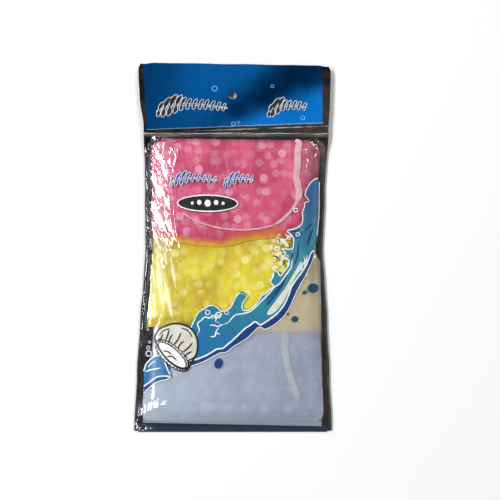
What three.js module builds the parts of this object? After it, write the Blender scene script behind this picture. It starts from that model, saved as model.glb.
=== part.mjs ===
// Retail pack of three folded film shower caps, lying on its back.
// Millimetres. +Z is up from the table, +Y points to the hanging header, +X is right.
// The origin is on the table, under the middle of the pack.
import * as THREE from 'three';

const { clamp, lerp, smoothstep } = THREE.MathUtils;

// The pack
const packWidth = 140;
const headerLength = 54;

// The film, drawn thicker than real so that it is a solid
const filmWall = 0.2;
const runGap = 0.3;

// The side seams and the weld under the header
const seamLevel = 1.2;
const seamMargin = 1.5;
const backFlatHalf = 58;
const weldLevel = 4.6;
const weldGap = 0.4;
const weldSetback = 1.2;
const weldRise = 16;

// The front film over the caps
const headFall = 6.6;
const mouthFall = 22;
const filmDip = 0.4;
const filmDipRun = 14;

// The closing flap, folded under the mouth, and its adhesive
const flapLength = 30;
const flapInset = 2.5;
const flapRise = 12;
const foldRadius = 0.6;
const mouthStop = 0.9;
const adhesiveWidth = 8;
const adhesiveWall = 0.2;
const adhesiveInset = 6;
const adhesiveSetback = 1;

// The hang hole through both plies of the header
const hangHoleDiameter = 6;
const hangHoleDrop = 24.1;
const hangHoleOffset = -2.4;

// Each folded cap
const capLength = 78;
const capOverlap = 15.75;
const capThickness = 7.3;
const capToWeld = 4.8;
const capToMouth = 6.3;
const capInset = 5;
const capCorner = 8;
const shoulder = 16;

// The thin rims of a folded cap, and how one lies over the next
const endWall = 1.6;
const edgeWall = 2.2;
const coveredEdgeWall = 0.9;
const edgeLift = 0.6;
const lipWall = 1.2;
const lipDrop = 0.6;
const layGap = 0.8;
const layStep = 8;

// The elastic band in the hem of each cap
const elasticWidth = 5.5;
const elasticWall = 1;

// How square the crowns are: a higher power keeps the middle flatter
const capCrownPower = 5;
const capBellyPower = 8;
const filmCrownPower = 9;
const endPower = 3;

// How finely the pieces are drawn
const holeSides = 24;
const bandSteps = 48;
const capRows = 17;
const bendSteps = 3;
const headerSideSteps = 4;

// Places worked out from the sizes above
const halfWidth = packWidth / 2;
const capPitch = capLength - capOverlap;
const pouchLength = capToWeld + capPitch * 2 + capLength + capToMouth;
const packLength = pouchLength + headerLength;
const mouthY = -packLength / 2;
const weldY = mouthY + pouchLength;
const topY = packLength / 2;
const flapFoldY = mouthY + foldRadius;
const flapEndY = flapFoldY + flapLength;
const adhesiveLevel = filmWall + runGap;
const mouthFilmLevel = adhesiveLevel + adhesiveWall + runGap;
const slideLevel = mouthFilmLevel + filmWall + runGap;
const crestLevel = slideLevel + capThickness;
const lipLevel = crestLevel - lipDrop;
const coveredLevel = lipLevel - lipWall - layGap;
const filmCrest = crestLevel + runGap + elasticWall + runGap;
const weldSheetLevel = weldLevel - filmWall / 2;
const pouchEndY = weldY - weldGap;
const frontEndY = weldY - weldSetback;

// The pack's outline: place from mouth to top, then half-width left and right
const outlineShares = [
  [0, 1, 1],
  [0.149, 0.983, 0.977],
  [0.295, 0.961, 0.959],
  [0.399, 0.933, 0.934],
  [0.478, 0.921, 0.914],
  [0.623, 0.936, 0.939],
  [0.818, 0.959, 0.98],
  [1, 1, 1],
];

// Where the grids have their lines, closest at the shoulders and at a cap's ends
const halfAcrossShares = [0.25, 0.5, 0.7, 0.81, 0.88, 0.93, 0.97, 1];
const endRowShares = [0, 0.04, 0.15, 0.35, 0.65];
const capHalfAcrossShares = [0.32, 0.62, 0.79, 0.89, 0.96, 1];

// The caps from the header to the mouth.
// A loop's places are shares of the half-width and of the length that shows
const caps = [
  {
    name: 'pink',
    colour: 0xd8618a,
    elasticColour: 0xf0b4c6,
    loopShares: [
      [0.73, 0.92], [0.73, 0.68], [0.76, 0.5], [0.67, 0.35], [0.5, 0.23], [0.28, 0.17], [0, 0.16],
      [-0.27, 0.19], [-0.53, 0.27], [-0.74, 0.42], [-0.77, 0.68], [-0.64, 0.88], [-0.24, 0.92], [0.3, 0.93],
    ],
  },
  {
    name: 'yellow',
    colour: 0xdccb45,
    elasticColour: 0xf2eaa0,
    loopShares: [
      [0.68, 0.78], [0.74, 0.53], [0.62, 0.28], [0.3, 0.19], [-0.1, 0.17], [-0.48, 0.2],
      [-0.72, 0.34], [-0.76, 0.57], [-0.66, 0.78], [-0.3, 0.87], [0.1, 0.88], [0.45, 0.87],
    ],
  },
  {
    name: 'lavender',
    colour: 0xb2b8cc,
    elasticColour: 0xdfe2ea,
    loopShares: [
      [0.56, 0.84], [0.62, 0.59], [0.68, 0.37], [0.58, 0.2], [0.24, 0.17], [-0.14, 0.17],
      [-0.5, 0.22], [-0.72, 0.4], [-0.72, 0.65], [-0.56, 0.82], [-0.2, 0.87], [0.2, 0.88],
    ],
  },
];
caps.forEach((cap, order) => {
  cap.loopRun = order ? capPitch : capLength;
  cap.high = weldY - capToWeld - order * capPitch;
  cap.low = cap.high - capLength;
  cap.above = caps[order - 1];
  cap.below = caps[order + 1];
});

// Places on both sides of the middle, from left to right
function acrossBoth(shares) {
  return [...shares.map((share) => -share).reverse(), 0, ...shares];
}

// Half-width of the pack at y, on the left for a negative side
function outlineAt(side, y) {
  const along = (y - mouthY) / packLength;
  const next = clamp(outlineShares.findIndex(([place]) => place >= along), 1, outlineShares.length - 1);
  const [from, left, right] = outlineShares[next - 1];
  const [to, nextLeft, nextRight] = outlineShares[next];
  const blend = smoothstep(along, from, to);
  return halfWidth * (side < 0 ? lerp(left, nextLeft, blend) : lerp(right, nextRight, blend));
}

// How far the back film has climbed to the weld, from nothing to all the way
function weldShare(y) {
  return smoothstep(y, pouchEndY - weldRise, pouchEndY);
}

// How far the pouch has opened from the mouth, from nothing to all the way
function mouthShare(y) {
  return 1 - (1 - clamp((y - flapFoldY) / mouthFall, 0, 1)) ** endPower;
}

// Underside of the back film at the side seams
function seamAt(y) {
  return lerp(lerp(mouthFilmLevel, seamLevel, mouthShare(y)), weldSheetLevel, weldShare(y));
}

// Underside of the back film: flat on the table, raised over the flap, at the seams and at the weld
function backUnderside(x, y) {
  const flat = mouthFilmLevel * (1 - smoothstep(y, flapEndY, flapEndY + flapRise));
  const side = smoothstep(Math.abs(x), backFlatHalf, outlineAt(x, y));
  return lerp(lerp(flat, weldSheetLevel, weldShare(y)), seamAt(y), side);
}

// Underside of the front film: a long pillow over the caps, down to the weld, the mouth and the seams
function frontUnderside(x, y) {
  const seam = seamAt(y) + filmWall + runGap;
  const weld = weldSheetLevel + filmWall + runGap;
  const dips = caps.slice(1).map((cap) => 1 - smoothstep(Math.abs(y - cap.above.low), 0, filmDipRun));
  const dipped = filmCrest - filmDip * Math.max(...dips);
  const full = lerp(slideLevel, dipped, mouthShare(y));
  const crest = lerp(full, weld, smoothstep(y, frontEndY - headFall, frontEndY));
  const reach = clamp(Math.abs(x) / (outlineAt(x, y) - seamMargin), 0, 1);
  const edge = Math.min(seam, crest);
  return lerp(crest, edge, reach ** filmCrownPower);
}

// Half-width of a folded cap at y, with its corners rounded
function capHalfWidth(cap, side, y) {
  const fromEnd = clamp(Math.min(y - cap.low, cap.high - y), 0, capCorner);
  const rounding = capCorner - Math.sqrt(capCorner ** 2 - (capCorner - fromEnd) ** 2);
  return outlineAt(side, y) - capInset - rounding;
}

function capReach(cap, x, y) {
  return clamp(Math.abs(x) / capHalfWidth(cap, x, y), 0, 1);
}

// How far inside its end a place is, from the thin rim to the full crown
function endShare(distance) {
  return 1 - (1 - clamp(distance / shoulder, 0, 1)) ** endPower;
}

// Plain underside of a cap: level, with lifted edges, and following the film up to the weld
function capPlainBottom(cap, x, y) {
  const lift = edgeLift * capReach(cap, x, y) ** capBellyPower;
  return slideLevel + lift + weldSheetLevel * weldShare(y);
}

// Level of a cap's top on its centre line
function capCentreTop(cap, y) {
  const rim = slideLevel + endWall;
  const low = cap.below ? lipLevel : rim;
  const fromLow = lerp(low, crestLevel, endShare(y - cap.low));
  if (!cap.above) {
    const head = capPlainBottom(cap, 0, cap.high) + endWall;
    return Math.min(fromLow, lerp(head, crestLevel, endShare(cap.high - y)));
  }
  if (y < cap.above.low) {
    return Math.min(fromLow, lerp(coveredLevel, crestLevel, smoothstep(cap.above.low - y, 0, shoulder)));
  }
  return lerp(rim, coveredLevel, smoothstep(cap.high - y, 0, cap.high - cap.above.low));
}

function capTop(cap, x, y) {
  const reach = capReach(cap, x, y);
  const centre = capCentreTop(cap, y);
  const covered = cap.above ? smoothstep(y, cap.above.low - shoulder / 2, cap.above.low) : 0;
  const head = cap.above ? 0 : 1 - endShare(cap.high - y);
  const wall = lerp(edgeWall, coveredEdgeWall, Math.max(covered, head));
  const edge = slideLevel + edgeLift + weldSheetLevel * weldShare(y) + wall;
  const crown = lerp(centre, Math.min(centre, edge), reach ** capCrownPower);
  return Math.max(crown, capBottom(cap, x, y) + coveredEdgeWall);
}

// Underside of a cap: plain, then riding up over the cap that it lies on
function capBottom(cap, x, y) {
  const plain = capPlainBottom(cap, x, y);
  if (!cap.below) {
    return plain;
  }
  const carried = capTop(cap.below, x, Math.min(y, cap.below.high)) + layGap;
  const off = smoothstep(y, cap.below.high, cap.below.high + layStep);
  return lerp(Math.max(carried, plain), plain, off);
}

// A closed solid between a lower and an upper grid of points, with rows along +Y and columns along +X
function gridSolid(lower, upper) {
  const columns = upper[0].length;
  const layer = upper.length * columns;
  const index = [];
  const at = (row, column, top) => top * layer + row * columns + column;
  const quad = (a, b, c, d) => index.push(a, b, c, a, c, d);
  for (let row = 0; row < upper.length - 1; row += 1) {
    for (let column = 0; column < columns - 1; column += 1) {
      quad(at(row, column, 1), at(row, column + 1, 1), at(row + 1, column + 1, 1), at(row + 1, column, 1));
      quad(at(row, column, 0), at(row + 1, column, 0), at(row + 1, column + 1, 0), at(row, column + 1, 0));
    }
    const last = columns - 1;
    quad(at(row + 1, 0, 0), at(row, 0, 0), at(row, 0, 1), at(row + 1, 0, 1));
    quad(at(row, last, 0), at(row + 1, last, 0), at(row + 1, last, 1), at(row, last, 1));
  }
  for (let column = 0; column < columns - 1; column += 1) {
    const last = upper.length - 1;
    quad(at(0, column, 0), at(0, column + 1, 0), at(0, column + 1, 1), at(0, column, 1));
    quad(at(last, column + 1, 0), at(last, column, 0), at(last, column, 1), at(last, column + 1, 1));
  }
  return indexedGeometry([...lower.flat(), ...upper.flat()], index);
}

function indexedGeometry(points, index) {
  const geometry = new THREE.BufferGeometry();
  geometry.setFromPoints(points);
  geometry.setIndex(index);
  geometry.computeVertexNormals();
  return geometry;
}

// A film of even wall on both sides of a grid of middle points
function filmSolid(middle) {
  const between = (from, to) => new THREE.Vector3().subVectors(to, from);
  const offset = (sign) => middle.map((row, r) => row.map((point, c) => {
    const along = between(middle[Math.max(r - 1, 0)][c], middle[Math.min(r + 1, middle.length - 1)][c]);
    const across = between(row[Math.max(c - 1, 0)], row[Math.min(c + 1, row.length - 1)]);
    return point.clone().addScaledVector(across.cross(along).normalize(), (sign * filmWall) / 2);
  }));
  return gridSolid(offset(-1), offset(1));
}

// One row of film across the pack at y, its middle at the given level
function filmRow(y, levelAt) {
  return acrossBoth(halfAcrossShares).map((share) => {
    const x = share * outlineAt(share, y);
    return new THREE.Vector3(x, y, levelAt(x, y) + filmWall / 2);
  });
}

function backFilm() {
  const ys = placesThrough(
    [mouthY + mouthStop, 2],
    [flapEndY, 4],
    [flapEndY + flapRise, 7],
    [pouchEndY - weldRise, 6],
    [pouchEndY, 0],
  );
  return filmSolid(ys.map((y) => filmRow(y, backUnderside)));
}

// The front film, with its turn round the mouth down to the flap
function frontFilm() {
  const mouthRow = filmRow(flapFoldY, frontUnderside);
  const reach = foldRadius - filmWall / 2;
  const turnRows = [mouthRow.map(({ x }) => new THREE.Vector3(x, flapFoldY - reach, adhesiveLevel))];
  for (let step = 0; step < bendSteps; step += 1) {
    const angle = (Math.PI / 2) * (step / bendSteps);
    const y = flapFoldY - reach * Math.cos(angle);
    const drop = foldRadius * (1 - Math.sin(angle));
    turnRows.push(mouthRow.map(({ x, z }) => new THREE.Vector3(x, y, z - drop)));
  }
  const ys = placesThrough(
    [flapFoldY, 5],
    [flapFoldY + mouthFall, 20],
    [frontEndY - headFall, 3],
    [frontEndY, 0],
  );
  return filmSolid([...turnRows, ...ys.map((y) => filmRow(y, frontUnderside))]);
}

// Places through the stops, each with how many even steps it takes to the next one
function placesThrough(...stops) {
  const steps = ([start, count], order) => Array.from(
    { length: count },
    (_, step) => lerp(start, stops[order + 1][0], step / count),
  );
  return [...stops.slice(0, -1).flatMap(steps), stops.at(-1)[0]];
}

// A folded cap as one soft packet between its underside and its crown
function capPacket(one) {
  const rounding = endRowShares.map((share) => share * shoulder);
  const ys = [
    ...rounding.map((run) => one.low + run),
    ...placesThrough([one.low + shoulder, capRows], [one.high - shoulder, 0]),
    ...rounding.map((run) => one.high - run).reverse(),
  ];
  const rows = (levelAt) => ys.map((y) => acrossBoth(capHalfAcrossShares).map((share) => {
    const x = share * capHalfWidth(one, share, y);
    return new THREE.Vector3(x, y, levelAt(one, x, y));
  }));
  return gridSolid(rows(capBottom), rows(capTop));
}

// The elastic, a flat closed band that lies on the packet
function elasticBand(one) {
  const route = new THREE.CatmullRomCurve3(one.loopShares.map(([across, along]) => {
    const y = one.low + along * one.loopRun;
    return new THREE.Vector3(across * capHalfWidth(one, across, y), y, 0);
  }), true);
  const points = [];
  const index = [];
  for (let step = 0; step < bandSteps; step += 1) {
    const middle = route.getPointAt(step / bandSteps);
    const ahead = route.getTangentAt(step / bandSteps);
    for (const side of [-1, 1]) {
      const x = middle.x - (side * ahead.y * elasticWidth) / 2;
      const y = middle.y + (side * ahead.x * elasticWidth) / 2;
      const low = capTop(one, x, y) + runGap;
      points.push(new THREE.Vector3(x, y, low), new THREE.Vector3(x, y, low + elasticWall));
    }
    const here = step * 4;
    const next = ((step + 1) % bandSteps) * 4;
    for (const [a, b] of [[0, 2], [2, 3], [3, 1], [1, 0]]) {
      index.push(here + a, here + b, next + b, here + a, next + b, next + a);
    }
  }
  return indexedGeometry(points, index);
}

// A flat film cut to the pack's outline from one y to another
function flatFilm(fromY, toY, inset, hole) {
  const steps = placesThrough([fromY, headerSideSteps], [toY, 0]);
  const right = steps.map((y) => new THREE.Vector2(outlineAt(1, y) - inset, y));
  const left = steps.map((y) => new THREE.Vector2(inset - outlineAt(-1, y), y)).reverse();
  const shape = new THREE.Shape([...right, ...left]);
  if (hole) {
    shape.holes.push(hole);
  }
  return shape;
}

function extruded(shape, depth) {
  return new THREE.ExtrudeGeometry(shape, { depth, bevelEnabled: false, curveSegments: holeSides });
}

function headerPly(fromY) {
  const hole = new THREE.Path();
  hole.absarc(hangHoleOffset, topY - hangHoleDrop, hangHoleDiameter / 2, 0, Math.PI * 2, true);
  return extruded(flatFilm(fromY, topY, 0, hole), filmWall);
}

const group = new THREE.Group();

function addPiece(name, geometry, level, colour, roughness, opacity = 1) {
  const material = new THREE.MeshStandardMaterial({ color: colour, roughness, metalness: 0 });
  material.transparent = opacity < 1;
  material.opacity = opacity;
  const mesh = new THREE.Mesh(geometry, material);
  mesh.name = name;
  mesh.position.z = level;
  group.add(mesh);
}

addPiece('back_film', backFilm(), 0, 0x30363b, 0.25);
addPiece('front_film', frontFilm(), 0, 0xe8eef2, 0.12, 0.35);
const frontPlyLevel = weldSheetLevel + filmWall + runGap;
addPiece('header_back_ply', headerPly(weldY + weldGap), weldSheetLevel, 0x2a3c4e, 0.25);
addPiece('header_front_ply', headerPly(weldY + weldSetback), frontPlyLevel, 0x0b4f9c, 0.18);
addPiece('closing_flap', extruded(flatFilm(flapFoldY, flapEndY, flapInset), filmWall), 0, 0x3a4147, 0.25);
const adhesiveEndY = flapEndY - adhesiveSetback;
const adhesive = flatFilm(adhesiveEndY - adhesiveWidth, adhesiveEndY, adhesiveInset);
addPiece('adhesive_strip', extruded(adhesive, adhesiveWall), adhesiveLevel, 0xd9d6c8, 0.5);
for (const one of caps) {
  addPiece(`${one.name}_cap_film`, capPacket(one), 0, one.colour, 0.35);
  addPiece(`${one.name}_elastic`, elasticBand(one), 0, one.elasticColour, 0.7);
}

export default group;
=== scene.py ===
import math

import bpy
import numpy as np
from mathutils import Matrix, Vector, geometry, noise
from mathutils.bvhtree import BVHTree


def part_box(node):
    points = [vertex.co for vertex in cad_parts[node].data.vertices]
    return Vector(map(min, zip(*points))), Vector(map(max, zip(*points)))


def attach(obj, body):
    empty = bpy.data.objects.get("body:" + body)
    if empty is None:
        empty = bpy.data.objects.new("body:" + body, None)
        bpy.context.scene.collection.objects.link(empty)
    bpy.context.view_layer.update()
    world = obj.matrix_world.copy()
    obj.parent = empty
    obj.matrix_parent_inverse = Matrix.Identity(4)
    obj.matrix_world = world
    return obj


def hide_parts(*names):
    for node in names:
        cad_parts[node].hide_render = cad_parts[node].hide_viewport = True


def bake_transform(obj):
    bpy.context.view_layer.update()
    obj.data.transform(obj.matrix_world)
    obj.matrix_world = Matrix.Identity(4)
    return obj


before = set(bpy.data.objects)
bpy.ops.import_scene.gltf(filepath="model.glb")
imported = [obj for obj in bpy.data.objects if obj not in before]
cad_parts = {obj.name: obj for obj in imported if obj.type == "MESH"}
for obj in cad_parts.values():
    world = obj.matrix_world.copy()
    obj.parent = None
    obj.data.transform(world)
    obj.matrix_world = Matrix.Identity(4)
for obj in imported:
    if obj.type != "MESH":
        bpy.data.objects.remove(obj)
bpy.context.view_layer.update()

MM = 0.001
LAMP_SLOPE = 0.275  # how a flat pane of film leans where it mirrors the key lamp
CAP_NAMES = ("pink", "yellow", "lavender")

# The camera, above the pack as in the photograph

camera_data = bpy.data.cameras.new("camera")
camera_data.lens = 50
camera_data.sensor_width = 36
camera = bpy.data.objects.new("camera", camera_data)
camera.location = (-0.005397, -0.052482, 0.503223)
camera.rotation_euler = (0.0957, -0.0335, 0.0049)
bpy.context.scene.collection.objects.link(camera)
bpy.context.scene.camera = camera
bpy.context.scene.view_settings.view_transform = "Standard"


# Levels read from the frame, in millimetres

def smooth(value, low, high):
    """From 0 at low to 1 at high, eased at both ends."""
    t = np.clip((value - low) / (high - low), 0, 1)
    return t * t * (3 - 2 * t)


def blurred(level, passes):
    """A grid of levels with its small steps evened out."""
    for _ in range(passes):
        p = np.pad(level, 1, mode="edge")
        level = (p[:-2, 1:-1] + p[2:, 1:-1] + p[1:-1, :-2] + p[1:-1, 2:] + 4 * p[1:-1, 1:-1]) / 8
    return level


class Relief:
    """Levels over a square grid of places that reaches a little past the pack."""

    HALF_WIDTH, HALF_LENGTH = 72, 137

    def __init__(self, step):
        self.step = step
        self.xs = np.arange(-self.HALF_WIDTH, self.HALF_WIDTH + step / 2, step)
        self.ys = np.arange(-self.HALF_LENGTH, self.HALF_LENGTH + step / 2, step)
        self.x, self.y = np.meshgrid(self.xs, self.ys)
        self.level = np.zeros_like(self.x)

    def at(self, x, y):
        """The level at places between the grid's own."""
        u = np.clip((x - self.xs[0]) / self.step, 0, len(self.xs) - 1.001)
        v = np.clip((y - self.ys[0]) / self.step, 0, len(self.ys) - 1.001)
        c, r = u.astype(int), v.astype(int)
        u, v = u - c, v - r
        g = self.level
        low = g[r, c] * (1 - u) + g[r, c + 1] * u
        return low * (1 - v) + (g[r + 1, c] * (1 - u) + g[r + 1, c + 1] * u) * v


def cad_relief(node, top=True, passes=3):
    """The upper or lower side of a CAD node, carried on level beyond its edges."""
    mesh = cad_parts[node].data
    tree = BVHTree.FromPolygons(
        [v.co / MM for v in mesh.vertices], [tuple(p.vertices) for p in mesh.polygons]
    )
    relief = Relief(1.0)
    start, way = (50, Vector((0, 0, -1))) if top else (-50, Vector((0, 0, 1)))
    known_rows = []
    for r, y in enumerate(relief.ys):
        hits = [tree.ray_cast(Vector((x, y, start)), way)[0] for x in relief.xs]
        known = np.array([hit is not None for hit in hits])
        if known.any():
            known_rows.append(r)
            levels = [hit.z for hit in hits if hit is not None]
            relief.level[r] = np.interp(relief.xs, relief.xs[known], levels)
    known_rows = np.array(known_rows)
    rows = np.arange(len(relief.ys))
    nearest = known_rows[np.abs(rows[:, None] - known_rows[None]).argmin(1)]
    relief.level = blurred(relief.level[nearest], passes)
    return relief


def cad_edges(*nodes):
    """How far nodes reach to the left and to the right, as functions of y."""
    reach = {}
    for node in nodes:
        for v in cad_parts[node].data.vertices:
            x, y = v.co.x / MM, round(v.co.y / MM)
            if abs(x) > 40:
                low, high = reach.get(y, (0, 0))
                reach[y] = (min(low, x), max(high, x))
    ys = sorted(reach)
    left, right = [-reach[y][0] for y in ys], [reach[y][1] for y in ys]
    return lambda y: np.interp(y, ys, left), lambda y: np.interp(y, ys, right)


def grain(x, y, size, turn, stretch):
    """Places counted in grains of a noise, turned and stretched."""
    c, s = math.cos(turn), math.sin(turn)
    return (x * c + y * s) / (size * stretch), (y * c - x * s) / size


def noise_at(x, y, size, seed=0.0, turn=0.0, stretch=1.0):
    """Soft noise from about -1 to 1, its hills size millimetres apart."""
    u, v = grain(x, y, size, turn, stretch)
    flat = [noise.noise((a, b, seed)) for a, b in zip(u.ravel(), v.ravel())]
    return np.array(flat).reshape(u.shape)


def crumple(x, y, size, seed, turn=0.0, stretch=1.0):
    """Sharp facets of crumpled film, from 0 to about 1."""
    u, v = grain(x, y, size, turn, stretch)
    flat = [
        noise.voronoi((a, b, seed), distance_metric="MANHATTAN")[0][0]
        for a, b in zip(u.ravel(), v.ravel())
    ]
    return np.array(flat).reshape(u.shape)


def panes(x, y, base, spots):
    """Small flat panes between creases that mirror the lamp, from their middle, reaches and turn.

    Gives what they add to the base relief, and where they are."""
    added, where = np.zeros_like(x), np.zeros_like(x)
    short, standing_out = 3, 0.35
    for px, py, long, wide, turn in spots:
        c, s = math.cos(turn), math.sin(turn)
        u, v = (x - px) * c + (y - py) * s, (y - py) * c - (x - px) * s
        inside = np.abs(u) / long + np.abs(v) / wide < 1
        cx, cy = x[inside], y[inside]
        spine, level_y = (px + (cy - py) * (c / s), cy) if long > short else (px, py)
        added[inside] = base.at(spine, level_y) + LAMP_SLOPE * (cx - spine) - base.at(cx, cy)
        where[inside] = 1
    return np.clip(added, -1, 1.2) + standing_out * where, where


def broad_pleats(x, y, base, spots):
    """Broad pleats side by side that mirror the lamp together, each from its two sides and its ends."""
    added, where = np.zeros_like(x), np.zeros_like(x)
    ragged = 0.9 * noise_at(x, y, 5, 4.4) + 0.5 * noise_at(x, y, 2.2, 8.4)
    lean, slope_along, standing_out = 0.36, 0.08, 0.45
    for left, right, low, high in spots:
        middle, level_y = (left + right) / 2, (low + high) / 2
        end = lean * (x - middle) + ragged
        inside = (x > left) & (x < right) & (y > low + end) & (y < high + end)
        cx, cy = x[inside], y[inside]
        plane = base.at(middle, level_y) + LAMP_SLOPE * (cx - middle) + slope_along * (cy - level_y)
        added[inside] = plane - base.at(cx, cy)
        where[inside] = 1
    return np.clip(added, -0.9, 1.4) + standing_out * where, where


def ridge(x, y, line, width):
    """A crease along a line of points: 1 on it, fading over its width."""
    away = np.full_like(x, 1e3)
    for (ax, ay), (bx, by) in zip(line[:-1], line[1:]):
        run = (bx - ax) ** 2 + (by - ay) ** 2
        t = np.clip(((x - ax) * (bx - ax) + (y - ay) * (by - ay)) / run, 0, 1)
        away = np.minimum(away, np.hypot(x - ax - t * (bx - ax), y - ay - t * (by - ay)))
    return np.clip(1 - away / width, 0, 1)


def mound(x, y, spot):
    """A soft mound: its middle, its reach across and along, and its height."""
    mx, my, rx, ry, height = spot
    return height * np.exp(-(((x - mx) / rx) ** 2) - ((y - my) / ry) ** 2)


# Meshes

def settled(piece, body, node=None):
    """Puts a piece in the scene, on its body and in the place of its CAD node."""
    bpy.context.scene.collection.objects.link(piece)
    if body:
        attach(piece, body)
    if node:
        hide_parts(node)
    return piece


def piece_from(name, points, faces, finish, body, slot, node=None, sharp=False):
    """A piece from points in millimetres, with its finish and body; its slot is not used."""
    mesh = bpy.data.meshes.new(name)
    mesh.from_pydata((np.asarray(points) * MM).tolist(), [], [tuple(f) for f in faces])
    mesh.validate()
    mesh.shade_smooth()
    if sharp:
        mesh.set_sharp_from_angle(angle=math.radians(45))
    mesh.materials.append(finish)
    return settled(bpy.data.objects.new(name, mesh), body, node)


def keep_values(mesh, title, values):
    """Keeps a value on each point of a mesh, for a finish or a tree to read."""
    attribute = mesh.attributes.new(title, "FLOAT", "POINT")
    attribute.data.foreach_set("value", values.astype(np.float32))


def grid_faces(index, flip=False):
    """Quads over a grid of point numbers."""
    a, b, c, d = index[:-1, :-1], index[:-1, 1:], index[1:, 1:], index[1:, :-1]
    order = (a, d, c, b) if flip else (a, b, c, d)
    return np.stack([q.ravel() for q in order], 1)


def spread(low, high, left, right, rows, columns):
    """Places over a sheet: rows from its low end to its high end, columns (a count or shares) across it."""
    share = (np.linspace(-1, 1, columns) if isinstance(columns, int) else columns)[None, :]
    along = np.linspace(0, 1, rows)[:, None]
    y = low(share) * (1 - along) + high(share) * along
    x = np.where(share < 0, share * left(y), share * right(y))
    return x, y


def packet_points(x, y, top, bottom, rim):
    """A closed soft packet between two grids of levels that meet in a rounded rim."""
    rows, columns = x.shape
    share = np.linspace(-1, 1, columns)[None, :]
    along = np.linspace(0, 1, rows)[:, None]
    across = (1 - np.abs(share)) * np.abs(x[:, :1] - x[:, -1:]) / 2
    length = np.abs(y[-1:] - y[:1])
    inside = np.minimum(across, np.minimum(along, 1 - along) * length)
    round_off = np.sqrt(1 - (1 - np.clip(inside / rim, 0, 1)) ** 2)
    middle = (top + bottom) / 2
    top = middle + (top - middle) * round_off
    bottom = middle + (bottom - middle) * round_off
    upper = np.arange(rows * columns).reshape(rows, columns)
    lower = upper.copy()
    core = (slice(1, -1), slice(1, -1))
    lower[core] = rows * columns + np.arange((rows - 2) * (columns - 2)).reshape(rows - 2, -1)
    points = np.concatenate([
        np.stack([x, y, top], -1).reshape(-1, 3),
        np.stack([x[core], y[core], bottom[core]], -1).reshape(-1, 3),
    ])
    return points, np.concatenate([grid_faces(upper), grid_faces(lower, flip=True)])


def inside_loops(points, loops):
    """Whether each point lies within the loops, counting a loop in a loop as a hole."""
    within = np.zeros(len(points), bool)
    px, py = points[:, 0], points[:, 1]
    for loop in loops:
        for (ax, ay), (bx, by) in zip(loop, np.roll(loop, -1, axis=0)):
            if ay != by:
                crossed = ((ay > py) != (by > py)) & (px < (bx - ax) * (py - ay) / (by - ay) + ax)
                within ^= crossed
    return within


def divided(loop, step):
    """A closed loop with points no further apart than step."""
    points = []
    for a, b in zip(loop, np.roll(loop, -1, axis=0)):
        count = max(1, math.ceil(np.hypot(*(b - a)) / step))
        points += [a + (b - a) * i / count for i in range(count)]
    return np.array(points)


def filled(loops, step):
    """Points and triangles over the inside of some loops, fine enough to follow film."""
    loops = [divided(np.asarray(loop, float), step) for loop in loops]
    border = np.concatenate(loops)
    (x0, y0), (x1, y1) = border.min(0), border.max(0)
    gx, gy = np.meshgrid(np.arange(x0 + step / 2, x1, step), np.arange(y0 + step / 2, y1, step))
    gx[::2] += step / 2
    inner = np.stack([gx.ravel(), gy.ravel()], 1)
    inner = inner[inside_loops(inner, loops)]
    for point_block in np.array_split(border, max(1, len(border) // 200)):
        near = np.hypot(*(inner[:, None] - point_block[None]).transpose(2, 0, 1)).min(1)
        inner = inner[near > step * 0.5]
    edges, first = [], 0
    for loop in loops:
        count = len(loop)
        edges += [(first + i, first + (i + 1) % count) for i in range(count)]
        first += count
    points, _, faces, *_ = geometry.delaunay_2d_cdt(
        [Vector(p) for p in np.concatenate([border, inner])], edges, [], 0, 1e-5
    )
    points = np.array([tuple(p) for p in points])
    faces = np.array([tuple(f) for f in faces])
    faces = faces[inside_loops(points[faces].mean(1), loops)]
    a, b, c = points[faces].transpose(1, 0, 2)
    turned = (b - a)[:, 0] * (c - a)[:, 1] - (b - a)[:, 1] * (c - a)[:, 0] < 0
    faces[turned] = faces[turned][:, ::-1]
    return points, faces


def plate_points(loops, step, top, thickness):
    """A closed thin plate over some loops, its upper side following a relief."""
    flat, faces = filled(loops, step)
    level = top(flat[:, 0], flat[:, 1])
    count = len(flat)
    points = np.concatenate([np.column_stack([flat, level]), np.column_stack([flat, level - thickness])])
    sides = {}
    for a, b, c in faces:
        for p, q in ((a, b), (b, c), (c, a)):
            if (q, p) in sides:
                del sides[(q, p)]
            else:
                sides[(p, q)] = True
    walls = [(p, p + count, q + count, q) for p, q in sides]
    return points, [*faces.tolist(), *(faces[:, ::-1] + count).tolist(), *walls]


def plate(name, loops, step, top, thickness, *finish_and_place):
    """A thin plate with sharp edges, from its loops, then its finish, body, slot and CAD node; the slot is
    not used.
    """
    points, faces = plate_points(loops, step, top, thickness)
    return piece_from(name, points, faces, *finish_and_place, sharp=True)


def curve_through(points, spacing=0.8, closed=False):
    """Evenly spaced points on a smooth line through some points."""
    p = np.asarray(points, float)
    before, after = (p[-1:], p[:2]) if closed else (2 * p[:1] - p[1:2], 2 * p[-1:] - p[-2:-1])
    q = np.concatenate([before, p, after])
    dense = []
    for i in range(1, len(q) - 2):
        a, b, c, d = q[i - 1:i + 3]
        for t in np.linspace(0, 1, 24, endpoint=False):
            dense.append(0.5 * (2 * b + (c - a) * t + (2 * a - 5 * b + 4 * c - d) * t * t
                                + (3 * b - a - 3 * c + d) * t ** 3))
    dense.append(q[-2])
    dense = np.array(dense)
    run = np.concatenate([[0], np.cumsum(np.linalg.norm(np.diff(dense, axis=0), axis=1))])
    count = max(3, round(run[-1] / spacing))
    places = np.linspace(0, run[-1], count, endpoint=not closed)
    return np.stack([np.interp(places, run, dense[:, k]) for k in range(p.shape[1])], 1)


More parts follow.
